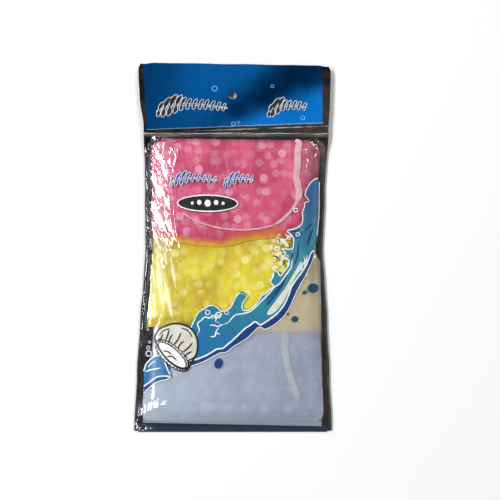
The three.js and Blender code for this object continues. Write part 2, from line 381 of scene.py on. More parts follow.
def ribbon_points(lines, top):
    """Flat ribbons along lines of x, y and width, lying on a relief."""
    points, faces = [], []
    for line in lines:
        line = np.asarray(line, float)
        ahead = np.gradient(line[:, :2], axis=0)
        ahead /= np.maximum(np.linalg.norm(ahead, axis=1, keepdims=True), 1e-6)
        across = np.stack([-ahead[:, 1], ahead[:, 0]], 1) * line[:, 2:3] / 2
        left, right = line[:, :2] + across, line[:, :2] - across
        first = len(points)
        points += [p for pair in zip(left, right) for p in pair]
        faces += [
            (first + 2 * i, first + 2 * i + 1, first + 2 * i + 3, first + 2 * i + 2)
            for i in range(len(line) - 1)
        ]
    points = np.array(points)
    return np.column_stack([points, top(points[:, 0], points[:, 1])]), faces


# Node trees and finishes

class Nodes:
    """A node tree built node by node. A socket takes a plain value or another node's output."""

    def __init__(self, tree):
        self.tree = tree

    def node(self, kind, sockets=None, **settings):
        made = self.tree.nodes.new(kind)
        for name, value in settings.items():
            setattr(made, name, value)
        for key, value in (sockets or {}).items():
            socket = made.inputs[key]
            if isinstance(value, bpy.types.NodeSocket):
                self.tree.links.new(value, socket)
            else:
                socket.default_value = (*value, 1.0) if socket.type == "RGBA" else value
        return made

    def shader(self, kind, sockets=None, **settings):
        return self.node("ShaderNode" + kind, sockets, **settings)

    def shape(self, kind, sockets=None, **settings):
        return self.node("GeometryNode" + kind, sockets, **settings).outputs[0]

    def math(self, operation, a, b=0.0):
        return self.shader("Math", {0: a, 1: b}, operation=operation).outputs[0]

    def times(self, a, b):
        return self.math("MULTIPLY", a, b)

    def plus(self, a, b):
        return self.math("ADD", a, b)

    def minus(self, a, b):
        return self.math("SUBTRACT", a, b)

    def ease(self, value, low, high, to_low=0.0, to_high=1.0):
        sockets = {"Value": value, "From Min": low, "From Max": high, "To Min": to_low, "To Max": to_high}
        return self.shader("MapRange", sockets, interpolation_type="SMOOTHSTEP").outputs["Result"]

    def fade(self, value, low, high):
        """From 1 at low to 0 at high."""
        return self.ease(value, low, high, 1.0, 0.0)

    def between(self, value, low, rise, fall, high):
        """0 outside low and high, and 1 from rise to fall."""
        return self.times(self.ease(value, low, rise), self.fade(value, fall, high))

    def blend(self, share, a, b):
        return self.shader("Mix", {0: share, 2: a, 3: b}, data_type="FLOAT").outputs[0]


class Finish(Nodes):
    """A material that reads the piece's own places, which are in metres.

    The sizes of its noise, dots and bumps are given in millimetres."""

    def __init__(self, name):
        self.material = bpy.data.materials.new(name)
        self.material.use_nodes = True
        super().__init__(self.material.node_tree)
        self.tree.nodes.clear()
        self.place = self.shader("TexCoord").outputs["Object"]

    def mix(self, share, a, b):
        return self.shader("Mix", {0: share, 6: a, 7: b}, data_type="RGBA").outputs[2]

    def noise(self, size, detail=3.0, stretch=(1, 1, 1), turn=0.0):
        """Noise whose grains are size apart."""
        sockets = {"Vector": self.place, "Scale": stretch, "Rotation": (0, 0, turn)}
        place = self.shader("Mapping", sockets).outputs[0]
        sockets = {"Vector": place, "Scale": 1 / (size * MM), "Detail": detail}
        return self.shader("TexNoise", sockets).outputs["Fac"]

    def cloud(self, size, detail, to_low=0.0, to_high=1.0, stretch=(1, 1, 1), turn=0.0):
        """Soft patches that run from one value to another."""
        return self.ease(self.noise(size, detail, stretch, turn), 0.3, 0.7, to_low, to_high)

    def dots(self, spacing, radius, shift, soft=0.12):
        """Round dots of one size, scattered about spacing apart."""
        place = self.shader("Mapping", {"Vector": self.place, "Location": (*shift, 0)}).outputs[0]
        sockets = {"Vector": place, "Scale": 1 / (spacing * MM), "Randomness": 0.8}
        away = self.shader("TexVoronoi", sockets, voronoi_dimensions="2D").outputs["Distance"]
        edge = radius / spacing
        return self.fade(away, edge * (1 - soft), edge * (1 + soft))

    def attribute(self, name):
        return self.shader("Attribute", attribute_name=name).outputs["Fac"]

    def axis(self, name):
        return self.shader("SeparateXYZ", {0: self.place}).outputs[name]

    def bump(self, height, distance):
        return self.shader("Bump", {"Height": height, "Distance": distance * MM, "Strength": 1.0}).outputs[0]

    def surface(self, tone, rough, bump, **others):
        sockets = {"Base Color": tone, "Roughness": rough, "Normal": bump}
        sockets.update((key.replace("_", " "), value) for key, value in others.items())
        return self.shader("BsdfPrincipled", sockets).outputs[0]

    def done(self, shader):
        self.tree.links.new(shader, self.shader("OutputMaterial").inputs["Surface"])
        return self.material


def toned(colour, share, added=0.0):
    """A colour made darker or paler."""
    return tuple(share * c + added for c in colour)


def clear_film():
    """Clear glossy film that turns a little milky along its creases, partly its own haze and partly a painted
    highlight for the glints of crumpled film.
    """
    f = Finish("front_film")
    head_on, milkiness = 0.07, 0.22
    fine = f.bump(f.noise(9, 1, (1, 0.35, 1), 0.5), 0.07)
    facing = f.shader("LayerWeight", {"Normal": fine}).outputs["Facing"]
    mirror = f.plus(f.times(f.math("POWER", facing, 5.0), 1 - head_on), head_on)
    clear = f.shader("BsdfTransparent", {"Color": (0.97, 0.975, 0.98)}).outputs[0]
    milky = f.shader("BsdfDiffuse", {"Color": (0.86, 0.87, 0.88), "Normal": fine}).outputs[0]
    # Milky white along the creases: the haze of creased film, and also a painted highlight standing in for
    # its glints.
    creased = f.times(f.attribute("crease"), milkiness)
    patchy = f.times(creased, f.ease(f.noise(1.6, 4, (1, 0.4, 1), 0.6), 0.35, 0.75))
    body = f.shader("MixShader", {0: patchy, 1: clear, 2: milky}).outputs[0]
    rough = f.ease(f.attribute("soft"), 0.0, 1.0, 0.05, 0.33)
    gloss = f.shader("BsdfGlossy", {"Color": (1, 1, 1), "Roughness": rough, "Normal": fine}).outputs[0]
    return f.done(f.shader("MixShader", {0: mirror, 1: body, 2: gloss}).outputs[0])


def plain_film(name, colour, roughness=0.14):
    """Film or tape of one colour, a little uneven."""
    f = Finish(name)
    tone = f.mix(f.cloud(9, 3), colour, toned(colour, 1.7, 0.003))
    rough = f.cloud(3, 3, roughness * 0.8, roughness * 1.3)
    bump = f.bump(f.noise(8, 2, (1, 0.5, 1), 0.4), 0.05)
    return f.done(f.surface(tone, rough, bump, Specular_IOR_Level=0.3))


def back_finish():
    """Smoked film, brownish in patches at the right, and navy at the mouth, where its layers lie together."""
    f = Finish("back_film")
    tone = f.mix(f.cloud(9, 3), (0.003, 0.004, 0.007), (0.008, 0.010, 0.016))
    brown_from, brown_to, navy_to, navy_from = 0.058, 0.063, -0.1315, -0.126
    patches = f.ease(f.noise(11, 4, (1, 0.4, 1)), 0.4, 0.62, 0.1, 1.0)
    at_right = f.ease(f.axis("X"), brown_from, brown_to)
    tone = f.mix(f.times(at_right, patches), tone, (0.045, 0.026, 0.012))
    tone = f.mix(f.ease(f.axis("Y"), navy_to, navy_from, 0.9, 0.0), tone, (0.004, 0.02, 0.065))
    bump = f.bump(f.noise(8, 2, (1, 0.5, 1), 0.4), 0.05)
    return f.done(f.surface(tone, f.cloud(3, 3, 0.1, 0.18), bump, Specular_IOR_Level=0.25))


def weld_finish():
    """Welded film: a brownish frosted band between dark lines, running along the weld, with a pale line in it
    that is a painted highlight.
    """
    f = Finish("weld_film")
    y = f.minus(f.axis("Y"), f.times(f.axis("X"), WELD_LEAN))
    y = f.plus(y, f.ease(f.noise(9, 2), 0, 1, -0.0005, 0.0005))
    frosted = f.between(y, 0.0784, 0.0790, 0.0813, 0.0820)
    streaks = f.cloud(2.2, 4, 0.25, 1.0, (0.12, 1, 1))
    tone = f.mix(f.times(frosted, streaks), (0.012, 0.012, 0.015), (0.17, 0.14, 0.125))
    # A pale line along the weld: a painted highlight of its ridge.
    pale = f.between(y, 0.0806, 0.0808, 0.0810, 0.0813)
    tone = f.mix(f.times(pale, f.ease(f.noise(12, 3), 0.4, 0.6)), tone, (0.55, 0.52, 0.5))
    bump = f.bump(f.noise(2.4, 3, (0.3, 1, 1)), 0.12)
    return f.done(f.surface(tone, f.cloud(3, 3, 0.2, 0.35), bump, Specular_IOR_Level=0.3))


def header_print():
    """Blue metallic print on dark film, which stays bare along the sides and the weld."""
    f = Finish("header_print")
    x, y = f.axis("X"), f.axis("Y")
    low_y, low_lean, right_x, left_x, left_lean = 0.08615, 0.0523, 0.0641, -0.0587, -0.072
    past_low = f.minus(y, f.plus(f.times(x, low_lean), low_y))
    past_right = f.minus(right_x, x)
    past_left = f.minus(x, f.plus(f.times(y, left_lean), left_x))
    inner = f.math("MINIMUM", f.math("MINIMUM", past_low, past_right), past_left)
    inner = f.plus(inner, f.ease(f.noise(5, 3), 0, 1, -0.0004, 0.0004))
    printed = f.ease(inner, 0.0, 0.0002)
    line = f.times(printed, f.fade(inner, 0.0004, 0.0007))
    low_line = f.times(line, f.ease(past_low, 0.0006, 0.0009, 0.6, 0.0))
    blue = f.mix(f.cloud(34, 3, 0, 1, (1, 0.6, 1), 0.6), (0.0032, 0.135, 0.46), (0.0038, 0.165, 0.55))
    # shine: a pale streak painted on the bare film below the print, a painted highlight, brighter towards the
    # right.
    shine = f.between(past_low, -0.0026, -0.0023, -0.0019, -0.0016)
    shine = f.times(shine, f.times(f.ease(x, -0.04, 0.03), f.ease(f.noise(14, 3), 0.35, 0.6)))
    brown = f.ease(f.noise(7, 3), 0.45, 0.62, 0.0, 0.9)
    bare = f.mix(brown, (0.004, 0.006, 0.010), (0.035, 0.018, 0.008))
    bare = f.mix(shine, bare, (0.5, 0.5, 0.5))
    tone = f.mix(printed, bare, f.mix(low_line, blue, (0.45, 0.6, 0.75)))
    metal = f.times(printed, f.minus(0.97, f.times(low_line, 0.85)))
    rough = f.ease(f.noise(14, 4), 0.25, 0.75, 0.06, 0.1)
    bump = f.bump(f.noise(14, 1, (1, 0.5, 1), 0.7), 0.01)
    return f.done(f.surface(tone, rough, bump, Metallic=metal, Specular_IOR_Level=0.3))


def cap_film(name, deep, base, dot, rim, far_rim):
    """Soft dotted film, several layers deep, that shows what lies behind its rim and its single layers."""
    f = Finish(name)
    layers = f.ease(f.noise(15, 4, (1, 0.6, 1), 0.5), 0.34, 0.66)
    tone = f.mix(layers, deep, base)
    # Lighter streaks along the folds: painted highlight.
    folds = f.ease(f.noise(5, 3, (1, 0.3, 1), 1.0), 0.55, 0.72, 0.0, 0.4)
    tone = f.mix(folds, tone, tuple(0.5 * (a + b) for a, b in zip(base, dot)))
    # Darker streaks along the creases: painted shade.
    creases = f.ease(f.noise(9, 5, (1, 0.35, 1), -0.5), 0.3, 0.42, 0.35, 0.0)
    tone = f.mix(creases, tone, toned(deep, 0.8))
    sunk = f.times(f.dots(9, 2.8, (0.004, 0.009), 0.35), f.ease(f.noise(17, 2), 0.4, 0.6, 0.12, 0.42))
    near = f.times(f.dots(15.5, 2.9, (0, 0)), f.ease(f.noise(20, 1), 0.42, 0.62, 0.12, 0.8))
    tone = f.mix(near, f.mix(sunk, tone, dot), dot)
    edge = f.plus(f.attribute("rim"), f.cloud(8, 3, -0.12, 0.12))
    tone = f.mix(f.ease(edge, 0.05, 0.6), tone, rim)
    tone = f.mix(f.ease(edge, 0.5, 1.0), tone, far_rim)
    tone = f.mix(f.times(f.attribute("thin"), 0.62), tone, toned(deep, 0.22, 0.01))
    height = f.plus(f.noise(2.6, 3, (1, 0.5, 1), 0.9), f.noise(8, 3, (1, 0.4, 1), -0.6))
    return f.done(f.surface(tone, f.cloud(4, 3, 0.3, 0.48), f.bump(height, 0.4)))


def elastic_finish(name, pale, deep):
    """Gathered elastic seen through a layer of the cap's film."""
    f = Finish(name)
    threads = f.times(f.cloud(0.9, 2), 0.25)
    tone = f.mix(threads, f.mix(f.cloud(3.5, 3), deep, pale), toned(deep, 0.7))
    return f.done(f.surface(tone, f.cloud(2, 2, 0.5, 0.75), f.bump(f.noise(1.1, 3), 0.25)))


def ink(name, colour, other=None):
    """Printing ink, a little uneven, or running from one colour to another."""
    f = Finish(name)
    second = other or tuple(min(1, c) for c in toned(colour, 1.25, 0.004))
    tone = f.mix(f.ease(f.noise(4, 4), 0.35, 0.7), colour, second)
    return f.done(f.surface(tone, f.cloud(2.5, 3, 0.28, 0.42), f.bump(f.noise(3, 2), 0.04)))


def frosted_ink():
    """Thin white ink that lets the caps show through, thicker over the yellow cap and along its low edge, and
    painted darker towards the right as shade.
    """
    f = Finish("frosted_ink")
    x, y = f.axis("X"), f.axis("Y")
    cloud = f.cloud(18, 3, 0, 1, (1, 0.6, 1), 0.6)
    left = f.mix(cloud, (0.58, 0.66, 0.72), (0.70, 0.76, 0.80))
    # The right side's darker tones are painted shade.
    right = f.mix(cloud, (0.36, 0.35, 0.42), (0.46, 0.44, 0.52))
    right = f.mix(f.ease(x, 0.0, 0.06), (0.5, 0.49, 0.58), right)
    tone = f.mix(f.ease(x, -0.06, 0.02), left, right)
    yellow_low, yellow_high, caps_low, caps_high = -0.067, -0.06, -0.1266, -0.125
    over_yellow = f.ease(y, yellow_low, yellow_high)
    tone = f.mix(over_yellow, tone, f.mix(cloud, (0.58, 0.48, 0.38), (0.70, 0.62, 0.50)))
    below_caps = f.fade(y, caps_low, caps_high)
    tone = f.mix(below_caps, tone, (0.4, 0.42, 0.54))
    white = f.surface(tone, 0.5, f.bump(f.noise(7, 3), 0.1))
    clear = f.shader("BsdfTransparent").outputs[0]
    cover = f.plus(f.cloud(10, 3, 0.38, 0.46), f.times(over_yellow, 0.2))
    cover = f.math("MAXIMUM", cover, f.times(below_caps, 0.85))
    return f.done(f.shader("MixShader", {0: cover, 1: clear, 2: white}).outputs[0])


def wave_ink(name, deep, middle, apex):
    """From the apex of the wave by the pink cap to its deep end at the lower left."""
    f = Finish(name)
    y = f.plus(f.axis("Y"), f.ease(f.noise(25, 2), 0, 1, -0.012, 0.012))
    tone = f.mix(f.ease(y, -0.08, -0.03), deep, middle)
    tone = f.mix(f.ease(y, -0.005, 0.028), tone, apex)
    cloud = f.ease(f.noise(5, 3, (1, 0.5, 1), 0.9), 0.45, 0.7, 0.0, 0.3)
    tone = f.mix(cloud, tone, toned(middle, 0.6))
    return f.done(f.surface(tone, f.cloud(2.5, 3, 0.28, 0.42), f.bump(f.noise(3, 2), 0.03)))


WELD_LEAN = 0.012
FILM_FRONT = clear_film()
FILM_BACK = back_finish()
FILM_WELD = weld_finish()
HEADER_FRONT = header_print()
HEADER_BACK = plain_film("header_back", (0.008, 0.014, 0.03))
ADHESIVE = plain_film("adhesive", (0.62, 0.6, 0.5), 0.45)
SEAM = plain_film("seam_film", (0.03, 0.032, 0.037), 0.12)

# The colours of each cap's deep layers, upper layer, dots, rim and far rim, and of its elastic, pale and deep
CAP_FILMS = {name: cap_film(name + "_film", *colours) for name, colours in {
    "pink": (
        (0.53, 0.04, 0.125), (0.73, 0.09, 0.22), (0.86, 0.37, 0.50), (0.74, 0.17, 0.07), (0.72, 0.42, 0.03),
    ),
    "yellow": (
        (0.60, 0.42, 0.005), (0.86, 0.73, 0.03), (0.95, 0.91, 0.30), (0.74, 0.68, 0.36), (0.52, 0.54, 0.60),
    ),
    "lavender": (
        (0.42, 0.50, 0.66), (0.5, 0.6, 0.78), (0.66, 0.75, 0.9), (0.5, 0.6, 0.75), (0.5, 0.6, 0.75),
    ),
}.items()}
ELASTICS = {name: elastic_finish(name + "_elastic", *colours) for name, colours in {
    "pink": ((0.86, 0.55, 0.60), (0.75, 0.36, 0.44)),
    "yellow": ((0.85, 0.8, 0.45), (0.74, 0.66, 0.25)),
    "lavender": ((0.78, 0.85, 0.86), (0.68, 0.74, 0.78)),
}.items()}

WHITE_INK = ink("white_ink", (0.8, 0.82, 0.84))
FOAM_INK = ink("foam_ink", (0.86, 0.78, 0.34), (0.9, 0.86, 0.62))
CREAM_INK = ink("cream_ink", (0.62, 0.6, 0.5), (0.74, 0.73, 0.64))
PALE_INK = ink("pale_ink", (0.62, 0.66, 0.52), (0.74, 0.78, 0.7))
BLACK_INK = ink("black_ink", (0.004, 0.005, 0.008), (0.012, 0.014, 0.02))
PALE_BLUE_INK = ink("pale_blue_ink", (0.1, 0.36, 0.66))
BLUE_INK = ink("blue_ink", (0.02, 0.08, 0.34))
WAVE_INK = wave_ink("wave_ink", (0.006, 0.15, 0.38), (0.026, 0.23, 0.31), (0.04, 0.12, 0.29))
DEEP_INK = wave_ink("deep_ink", (0.003, 0.042, 0.2), (0.003, 0.045, 0.17), (0.003, 0.03, 0.1))
DROP_INK = ink("drop_ink", (0.002, 0.06, 0.14))


# The front film, crumpled most at the left

film = Relief(0.5)
film_cad = cad_relief("front_film", passes=4)
left_edge, right_edge = cad_edges("front_film", "back_film", "header_front_ply")


def hugging(px, py):
    """The film as it lies on the caps, sloping gently to the seams and to the mouth."""
    room_over_caps, side_level, mouth_level, head_level = 0.75, 1.8, 1.4, 5.05
    mouth_y, mouth_slope, head_y, head_slope = -133.2, 0.42, 79, 0.5
    held = np.zeros_like(px)
    for name in CAP_NAMES:
        top = cad_relief(name + "_cap_film", passes=2)
        low, high = (corner.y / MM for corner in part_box(name + "_cap_film"))
        left, right = cad_edges(name + "_cap_film")
        edge = np.where(px > 0, right(py), left(py))
        inside = (py > low - 1) & (py < high + 1) & (np.abs(px) < edge + 1)
        held = np.maximum(held, np.where(inside, top.at(px, py) + room_over_caps, 0))
    inward = np.where(px > 0, right_edge(py), left_edge(py)) - np.abs(px)
    wander = 2.6 * noise_at(px, py, 21, 3.7) + 0.9 * noise_at(px, py, 7, 5.7)
    steep = 0.41 + 0.12 * (1 - smooth(py, -14, 0)) + 0.05 * (1 - smooth(py, -66, -52))
    steep = steep + 0.1 * smooth(px, -10, 10)
    from_side = side_level + steep * np.maximum(inward + wander * smooth(inward, 3, 9), 0)
    from_mouth = mouth_level + mouth_slope * np.maximum(py - mouth_y, 0)
    from_head = head_level + head_slope * np.maximum(head_y - py, 0)
    slack = np.minimum(np.minimum(from_side, from_mouth), from_head)
    return np.minimum(film_cad.at(px, py), np.maximum(held, slack))


low_film = film.y < 80
x, y = film.x[low_film], film.y[low_film]

# Creased spots: middle, reach across and along, and depth
creased_spots = [
    (-55, 46, 9, 34, 1.0), (-55, 8, 8, 22, 1.0), (-52, -30, 9, 26, 0.7), (-57, -60, 6, 14, 0.22),
    (-58, -115, 12, 5, 0.8), (-62, -131, 9, 3, 0.7), (-59, 76, 8, 5, 1.0), (64, 62, 4, 18, 0.4),
    (65, -20, 3, 60, 0.25), (-65, 0, 3.5, 120, 0.45), (62, 76, 7, 5, 0.7), (0, -131, 60, 2, 0.2),
    (42, 70, 24, 6, 0.12), (-10, 72, 40, 4, 0.12),
]
creased = np.clip(sum(mound(x, y, spot) for spot in creased_spots) + 0.03, 0, 1)
facets = (
    0.3 * crumple(x, y, 7.0, 7.7, 0.9, 2.2)
    + 0.22 * crumple(x, y, 3.6, 4.2, 0.7, 1.8)
    + 0.06 * crumple(x, y, 1.8, 1.3, 0.2, 1.6)
)

# Panes that mirror the lamp: small shards and soft veils from their middle, reaches and turn
SHARDS = [
    (-55, 62, 14, 2.9, 2), (-50.5, 50, 14, 2.4, 1.95), (-59, 47, 15, 2.8, 1.85),
    (-54, 36, 17, 3.1, 2.05), (-48.5, 28, 14, 2.1, 2.05), (-59.5, 26, 15, 2.6, 1.9),
    (-52.5, 15, 16, 3.3, 2.05), (-46.5, 10, 12, 2.2, 2.1), (-57, 5, 12, 2.1, 1.9),
    (-62, 64, 10, 2.1, 1.8), (-46, 68, 10, 1.7, 2.2), (-49, 0, 9, 1.5, 2.2), (-63.5, 38, 9, 1.4, 1.8),
    (-64, 14, 8, 1.4, 1.9), (-41, 71, 6, 1.4, 2.3), (60.5, 74.5, 3.5, 1.2, 0.9),
    (65.6, 78, 4, 1.8, 1.2), (59, 66, 5, 0.9, 1.3), (63, 58, 4, 0.8, 1.9), (-60, 78, 5, 2.6, 1.9),
    (-64, 74, 5, 1.6, 2.3), (-65.5, 68, 7, 1.5, 1.7), (-55, 77.4, 3.4, 1.5, 2.5),
    (-48, 76.8, 3.2, 1.2, 2.6), (56, 76.6, 3.3, 1.3, 0.7), (-66, 52, 6, 1.3, 1.8),
    (-65.5, 22, 7, 1.4, 1.5), (-65, -4, 6, 1.3, 1.7), (65.8, 70, 4, 1.2, 1.5),
    (-64.6, -30, 7, 0.9, 1.6), (-65, -47, 5, 1, 1.5),
]
shard_draw = np.random.default_rng(11)
for _ in range(42):
    place = (shard_draw.normal(-58, 5.4), shard_draw.uniform(-4, 77))
    reaches = (shard_draw.uniform(2.5, 7), shard_draw.uniform(0.4, 1.25))
    SHARDS.append((*place, *reaches, shard_draw.normal(2.0, 0.25)))
SHARDS += [(-67 + 1.8 * k, -131.3 + 0.3 * (k % 2), 1.5, 1.5, 1.7) for k in range(6)]
SHARDS += [(-26 + 1.2 * k, -131.6, 0.9, 0.9, 1.7) for k in range(3)]
SHARDS += [(4 + 1.3 * k, -131.8, 0.9, 1.0, 1.7) for k in range(3)]
VEILS = [
    (-53.5, -26, 26, 3.0, 1.68), (-47, -38, 18, 2.4, 1.8), (-57.5, -40, 14, 1.4, 1.6), (-50, -8, 9, 1.6, 1.9),
    (-43, -22, 12, 1.4, 1.75),
]

# Broad pleats at the lower left, from their sides and ends
BROAD = [
    (-68, -65.6, -123, -115.6), (-65.6, -63.2, -122.4, -114.6), (-63.2, -60.6, -121, -113.2),
    (-60.6, -56.4, -118.6, -111.8), (-56.4, -51.8, -116.6, -111.6), (-51.8, -46, -114.4, -111.4),
    (-69, -64.6, -133, -130.8), (-64.6, -60, -132.8, -130.6), (-60, -56, -132.3, -130.5),
]

# Long creases: a line of points, its width and its height
CREASES = [
    ([(44, 3), (52, 11), (61, 19)], 1.4, 0.3),
    ([(-62, 8), (-60.5, -20), (-63, -45), (-61.5, -64)], 1.1, 0.36),
    ([(-64.5, 14), (-63.5, -12), (-65.5, -40), (-66, -62)], 0.9, 0.3),
    ([(-61.5, 70), (-62.5, 40), (-60.5, 12)], 1.0, 0.3),
    ([(64, 66), (64.5, 30), (63, 0), (64.5, -30)], 0.9, 0.3),
    ([(65.5, -10), (64.8, -50), (66, -84)], 1.0, 0.3),
    ([(62.6, -20), (63.4, -64), (65.4, -110)], 0.8, 0.26),
    ([(-66.5, -70), (-67.2, -100), (-68, -126)], 0.8, 0.26),
    ([(-39, 74), (-46, 44), (-43, 14), (-38, -4)], 2.2, 0.5),
    ([(50, 77), (56, 71), (66, 66)], 2.2, 0.2),
    ([(20, 76), (24, 60), (18, 38)], 2.5, 0.25),
    ([(-8, 60), (-4, 44), (0, 38)], 1.6, 0.25),
    ([(52, -24), (55, -66), (51, -112)], 3.4, 0.42),
    ([(59, -20), (58, -70), (60, -120)], 2.4, 0.36),
    ([(-45, -131.6), (-15, -132.2), (8, -131.4)], 0.7, 0.2),
    ([(20, -132), (44, -131.4), (64, -132.4)], 0.7, 0.2),
]

film_base = Relief(0.5)
film_base.level[low_film] = hugging(x, y)
film_base.level = blurred(film_base.level, 5)
veil_level, in_veil = panes(x, y, film_base, VEILS)
shard_level, in_shard = panes(x, y, film_base, SHARDS)
broad_level, in_broad = broad_pleats(x, y, film_base, BROAD)
pane_level = np.where(in_broad > 0, broad_level, np.where(in_shard > 0, shard_level, veil_level))
in_pane = np.maximum(np.maximum(in_shard, in_broad), in_veil)
film_level = film_base.level[low_film] + pane_level
facet_middle, calm_in_panes = 0.3, 0.75
film_level += creased * (facets - facet_middle) * (1 - calm_in_panes * in_pane)
for line, width, height in CREASES:
    film_level += height * ridge(x, y, line, width)
film_level += 0.2 * noise_at(x, y, 26, 2.0, 0.5, 2.2) * smooth(x, -68, -50) * smooth(-x, -68, -55)
film_top, weld_level, weld_slope = 10.78, 5.2, 0.5
limit = np.where(y > 76.5, weld_level + weld_slope * (79 - y), film_top)
film.level[low_film] = np.minimum(film_level, limit)
crease, soft = Relief(0.5), Relief(0.5)
crease.level[low_film] = np.clip(creased * 1.1 - 0.12, 0, 1)
for mx, my, long, wide, turn in VEILS:
    along = (soft.x - mx) * math.cos(turn) + (soft.y - my) * math.sin(turn)
    across = (soft.y - my) * math.cos(turn) - (soft.x - mx) * math.sin(turn)
    soft.level = np.maximum(soft.level, 1 - smooth(np.hypot(along / long, across / wide), 0.7, 1.5))


def film_on(lift):
    """The level of something that lies this far over the front film."""
    return lambda px, py: film.at(px, py) + lift


def under_film(lift):
    """The level of something on the inside of the front film, clear of its creases."""
    return lambda px, py: film_base.at(px, py) + lift


def wavy(edge, seed):
    """An edge with the small unevenness of cut film."""
    def at(py):
        return edge(py) - 0.25 + 0.25 * noise_at(np.asarray(py, float), np.zeros_like(py) + seed, 14)
    return at


FILM_COLUMNS = np.concatenate([np.linspace(-1, -0.55, 90, endpoint=False), np.linspace(-0.55, 1, 140)])


def front_film():
    """Single clear sheet over the caps, turned down round the mouth."""
    mouth_y, head_y, lip_level = -133.3, 78.3, 0.6
    lip_ys, lip_shares = [[-133.72], [-133.8], [-133.66]], [[1.05], [0.75], [0.3]]
    fx, fy = spread(
        lambda s: mouth_y + 0 * s, lambda s: head_y - 0.5 * smooth(np.abs(s), 0.85, 0.97),
        wavy(left_edge, 5), wavy(right_edge, 9), 340, FILM_COLUMNS,
    )
    fz = film.at(fx, fy)
    turn_x = np.repeat(fx[:1], 3, 0)
    turn_y = np.array(lip_ys) + 0 * turn_x
    turn_z = fz[:1] + (lip_level - fz[:1]) * np.array(lip_shares)
    fx, fy, fz = (np.concatenate(pair) for pair in ((turn_x, fx), (turn_y, fy), (turn_z, fz)))
    points = np.stack([fx, fy, fz], -1).reshape(-1, 3)
    faces = grid_faces(np.arange(fx.size).reshape(fx.shape))
    piece = piece_from("front_film_sheet", points, faces, FILM_FRONT, "pouch", "front_film", "front_film")
    for title, relief in (("crease", crease), ("soft", soft)):
        keep_values(piece.data, title, relief.at(fx, fy).ravel())
    return piece


front_sheet = front_film()


# The dark back film

def back_film():
    """Smoked sheet under the caps, gently crumpled."""
    top, bottom = cad_relief("back_film"), cad_relief("back_film", top=False)
    mouth_y, head_y = -132.9, 79.3
    bx, by = spread(
        lambda s: mouth_y + 0 * s, lambda s: head_y + 0 * s, wavy(left_edge, 2), wavy(right_edge, 4), 260, 140
    )
    under_caps = smooth(by, -96, -84) * (1 - smooth(by, 62, 70)) * (1 - smooth(np.abs(bx), 54, 60))
    lift = under_caps * (0.5 * crumple(bx, by, 13, 5.5, 0.7, 2.0) + 0.2 * crumple(bx, by, 5, 2.5, 1.3, 2.0))
    lift += 0.12 * crumple(bx, by, 7, 8.5, 0.4, 2.0) * (1 - under_caps) * smooth(by, -100, -90)
    points, faces = packet_points(bx, by, top.at(bx, by) + lift, bottom.at(bx, by) + lift, 0.2)
    return piece_from("back_film_sheet", points, faces, FILM_BACK, "pouch", "back_film", "back_film")


back_sheet = back_film()


# The header, one dark ply under one printed ply

PLY = 0.18
HOLE_X, HOLE_Y, HOLE_RADIUS = -2.4, 109.7, 3
header = Relief(1.0)
header.level = 0.09 * noise_at(header.x, header.y, 60, 4.0, 0.6, 1.6)
header.level += 0.02 * noise_at(header.x, header.y, 22, 9.0)
HOLE = [
    (HOLE_RADIUS * math.cos(a) + HOLE_X, HOLE_Y + HOLE_RADIUS * math.sin(a))
    for a in np.linspace(0, 2 * math.pi, 48, endpoint=False)
]
header_ply_low, header_ply_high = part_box("header_front_ply")
back_ply_low, back_ply_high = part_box("header_back_ply")


def header_outline(low, seed):
    """The header's outline, anticlockwise, with its slightly uneven edges."""
    high = header_ply_high.y / MM
    ys = np.linspace(low, high, 36)
    right = np.stack([wavy(right_edge, seed)(ys) + 0.7 * smooth(ys, 84, 100), ys], 1)
    left = np.stack([-wavy(left_edge, seed + 3)(ys) - 2.2 * smooth(ys, 84, 106), ys], 1)[::-1]
    xs = np.linspace(right[-1, 0], left[0, 0], 40)[1:-1]
    top = np.stack([xs, high - 0.35 + 0.3 * noise_at(xs, xs * 0 + seed, 20)], 1)
    outline = np.concatenate([right, top, left])
    corner = smooth(np.abs(outline[:, 0]), 61, 68) * smooth(outline[:, 1], high - 5, high)
    rounding = np.column_stack([1.3 * np.sign(outline[:, 0]), np.full(len(outline), 1.1)])
    return outline - corner[:, None] * rounding


def header_on(lift):
    """The level of something that lies this far over the printed ply."""
    level = header_ply_high.z / MM
    return lambda px, py: level + lift + header.at(px, py)


header_front = plate(
    "header_front_sheet", [header_outline(header_ply_low.y / MM, 1), HOLE], 1.6, header_on(0), PLY,
    HEADER_FRONT, "header", "header_print", "header_front_ply",
)
gap = (header_ply_high.z - back_ply_high.z) / MM
header_back = plate(
    "header_back_sheet", [header_outline(back_ply_low.y / MM, 11), HOLE], 1.8, header_on(-gap), PLY,
    HEADER_BACK, "header", "header_back", "header_back_ply",
)


# The flap and its adhesive

def strip_loop(node, inset):
    """The outline of a strip as long as a CAD node, set in from the bag's sides."""
    low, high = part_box(node)
    ys = np.linspace(low.y / MM, high.y / MM, 20)
    right = np.stack([wavy(right_edge, 21)(ys) - inset, ys], 1)
    left = np.stack([inset - wavy(left_edge, 25)(ys), ys], 1)[::-1]
    return np.concatenate([right, left])


def flap_level(px, py):
    """The top of the flap, just over the table."""
    return 0.2 + 0.05 * noise_at(px, py, 9, 3.0, 0.4, 2.0)


def adhesive_level(px, py):
    """The top of the adhesive that lies on the flap."""
    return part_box("adhesive_strip")[1].z / MM + 0.03 * noise_at(px, py, 6, 5.0)


flap = plate(
    "closing_flap_sheet", [strip_loop("closing_flap", 2.6)], 1.6, flap_level, 0.14,
    FILM_BACK, "flap", "front_film", "closing_flap",
)
adhesive = plate(
    "adhesive_tape", [strip_loop("adhesive_strip", 6)], 1.6, adhesive_level, 0.16,
    ADHESIVE, "flap", "adhesive", "adhesive_strip",
)


# The three folded caps

FOLD_DEPTHS = {"pink": 0.9, "yellow": 1.15, "lavender": 0.8}

